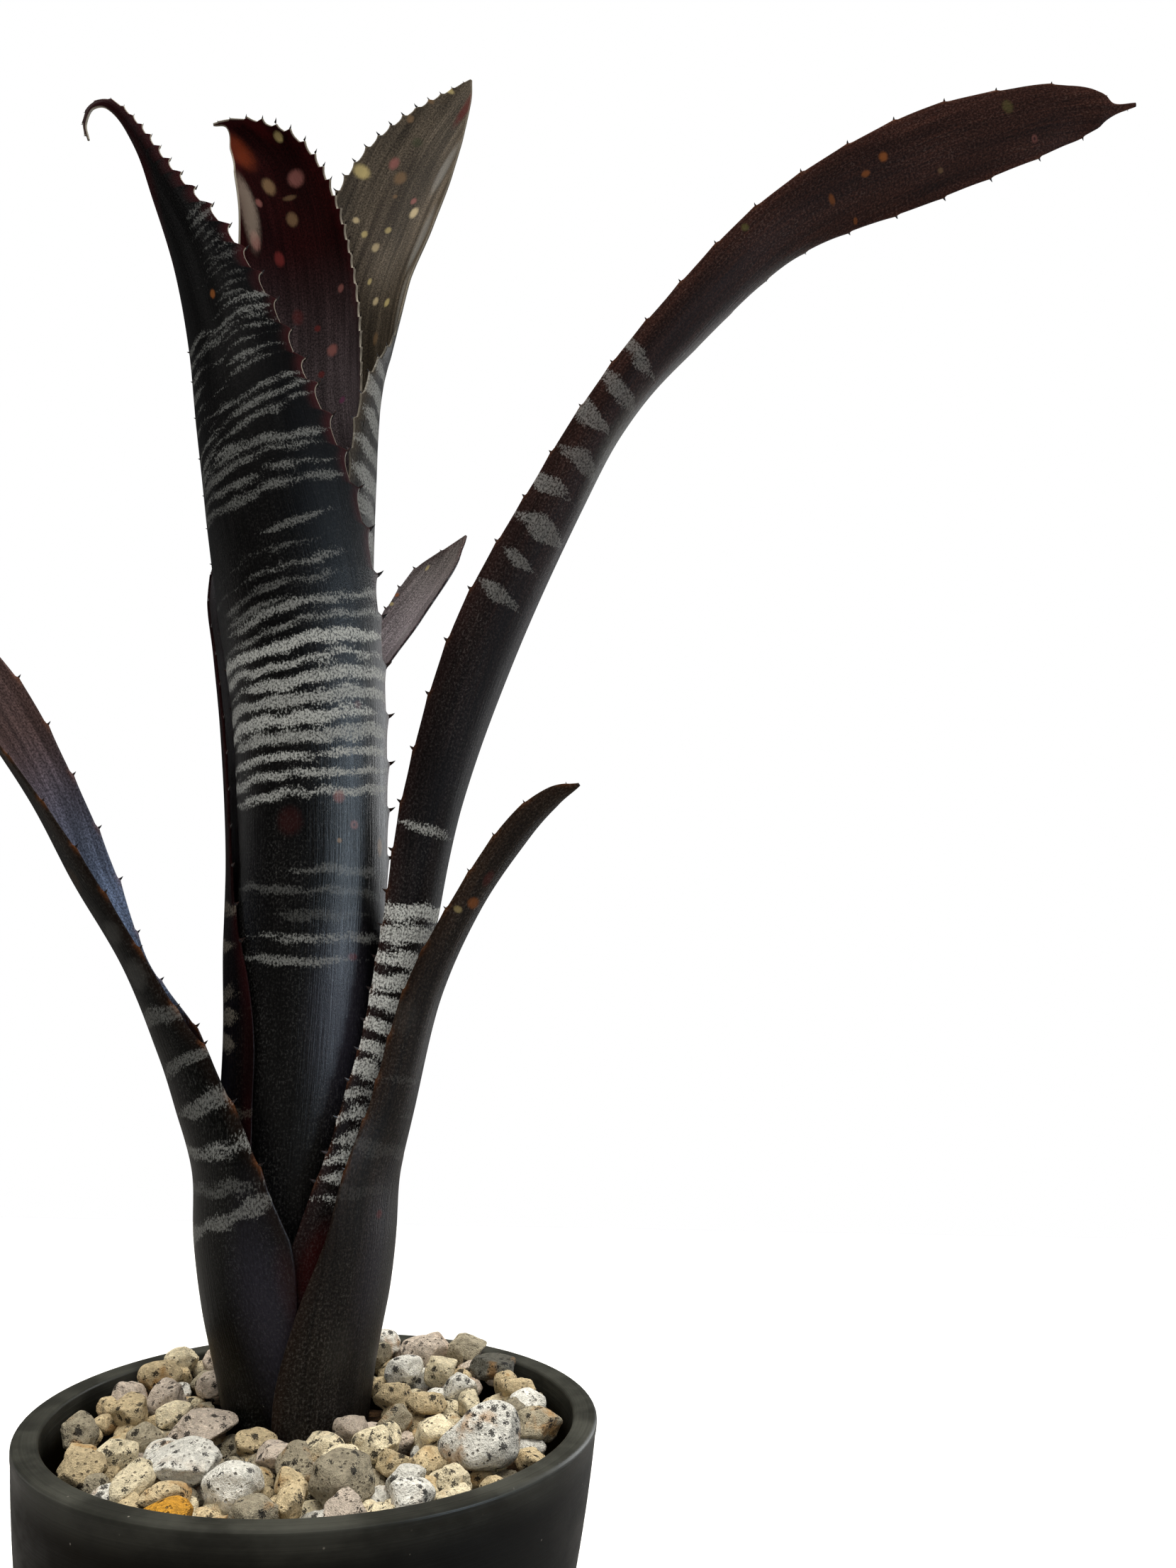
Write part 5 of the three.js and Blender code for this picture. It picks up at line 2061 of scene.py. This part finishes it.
@dataclass
class Studio:
    """Camera, floor and light.

    Attributes:
        eye: the camera's place in millimetres.
        rise: how far the camera looks up, in degrees.
        roll: how far it is rolled.
        focal: focal length in pixels of the photograph.
        image: width and height of the photograph in pixels.
        lights: the area lights by name.
        ambient: brightness of the surroundings.
    """

    eye: tuple[float, float, float] = (60.117, -301.861, 207.395)
    rise: float = 10.0561
    roll: float = -1.0789
    focal: float = 1700.0
    image: tuple[int, int] = (1659, 2212)
    ambient: float = 0.05
    lights: dict[str, Softbox] = field(
        default_factory=lambda: {
            "overhead": Softbox((50, 150, 1700), (2200, 2000), 72.0, (1.0, 0.98, 0.93), glossy=False),
            "window": Softbox((1156, -491, 370), (620, 420), 20.0, (0.7, 0.85, 1.0), diffuse=False),
            "front": Softbox((150, -1350, 800), (1400, 1000), 6.5, (1.0, 0.985, 0.95), glossy=False),
            "left": Softbox((-1200, 300, 230), (400, 300), 0.9, (1.0, 0.98, 0.95)),
            "sky": Softbox((-760, -520, 1450), (1000, 700), 2.8, (1.0, 0.98, 0.95)),
            "high": Softbox((780, -1000, 1000), (420, 320), 1.0, (0.6, 0.78, 1.0), diffuse=False),
            "edge": Softbox((850, 820, 320), (600, 900), 14.0, (0.95, 0.98, 1.0), diffuse=False),
        }
    )

    def set_camera(self) -> None:
        """Makes the camera: it looks along +Y, tipped up by its rise and turned by its roll."""
        data = bpy.data.cameras.new("photo_camera")
        data.sensor_width = 36.0
        data.lens = self.focal / self.image[1] * data.sensor_width
        data.clip_start = 0.01
        camera = bpy.data.objects.new("photo_camera", data)
        rise, roll = math.radians(self.rise), math.radians(self.roll)
        forward = Vector((0.0, math.cos(rise), math.sin(rise)))
        up = Vector((0.0, -math.sin(rise), math.cos(rise)))
        right = Vector((1.0, 0.0, 0.0))
        across = math.cos(roll) * right - math.sin(roll) * up
        upward = math.sin(roll) * right + math.cos(roll) * up
        turn = Matrix((across, upward, -forward)).transposed()
        camera.matrix_world = Matrix.Translation(Vector(self.eye) * METRES) @ turn.to_4x4()
        bpy.context.scene.collection.objects.link(camera)
        bpy.context.scene.camera = camera

    def set_floor(self) -> None:
        """Lays a large pale floor just under the pot."""
        half, level = 0.85, -0.0003
        corners = [(-half, -half, level), (half, -half, level), (half, half, level), (-half, half, level)]
        mesh = bpy.data.meshes.new("floor")
        mesh.from_pydata(corners, [], [(0, 1, 2, 3)])
        g = Graph("floor_paper")
        fibre = g.noise(g.place(), 0.5, 2.0)
        seen = g.node("ShaderNodeLightPath", {}).outputs["Is Camera Ray"]
        paper = g.mix(fibre, (0.92, 0.92, 0.92, 1.0), (0.95, 0.95, 0.95, 1.0))
        g.finish(g.mix(seen, (0.25, 0.24, 0.23, 1.0), paper), 0.9, fibre, 0.02, 0.1)
        mesh.materials.append(g.material)
        floor = bpy.data.objects.new("floor", mesh)
        bpy.context.scene.collection.objects.link(floor)

    def set_light(self) -> None:
        """Hangs the softboxes and sets dim surroundings behind a white backdrop."""
        target = Vector((0.0, 0.0, 0.25))
        for name, box in self.lights.items():
            box.build(name, target)
        world = bpy.data.worlds.new("studio")
        world.use_nodes = True
        tree = world.node_tree
        tree.nodes.clear()
        output = tree.nodes.new("ShaderNodeOutputWorld")
        dim, white = (tree.nodes.new("ShaderNodeBackground") for _ in range(2))
        dim.inputs["Color"].default_value = (0.95, 0.97, 1.0, 1.0)
        dim.inputs["Strength"].default_value = self.ambient
        white.inputs["Strength"].default_value = 1.0
        white.inputs["Color"].default_value = (1.0, 1.0, 1.0, 1.0)
        path = tree.nodes.new("ShaderNodeLightPath")
        blend = tree.nodes.new("ShaderNodeMixShader")
        tree.links.new(path.outputs["Is Camera Ray"], blend.inputs["Fac"])
        tree.links.new(dim.outputs["Background"], blend.inputs[1])
        tree.links.new(white.outputs["Background"], blend.inputs[2])
        tree.links.new(blend.outputs["Shader"], output.inputs["Surface"])
        bpy.context.scene.world = world
        bpy.context.scene.view_settings.view_transform = "Standard"

    def build(self) -> None:
        """Sets up the camera, the floor and the light."""
        self.set_camera()
        self.set_floor()
        self.set_light()
        LOG.info("studio: camera at %s mm", self.eye)


def main() -> None:
    """Builds the studio and every piece, and logs each one."""
    logging.basicConfig(level=logging.INFO, format="%(name)s: %(message)s")
    Studio().build()
    Pot().build()
    Topdressing().build(StoneFinish())
    dress("potting_mix", EarthFinish().material())
    dress("stem", StemFinish().material())
    spine = SpineFinish().material()
    for leaf in LEAVES:
        leaf.build(spine)


if __name__ == "__main__":
    main()
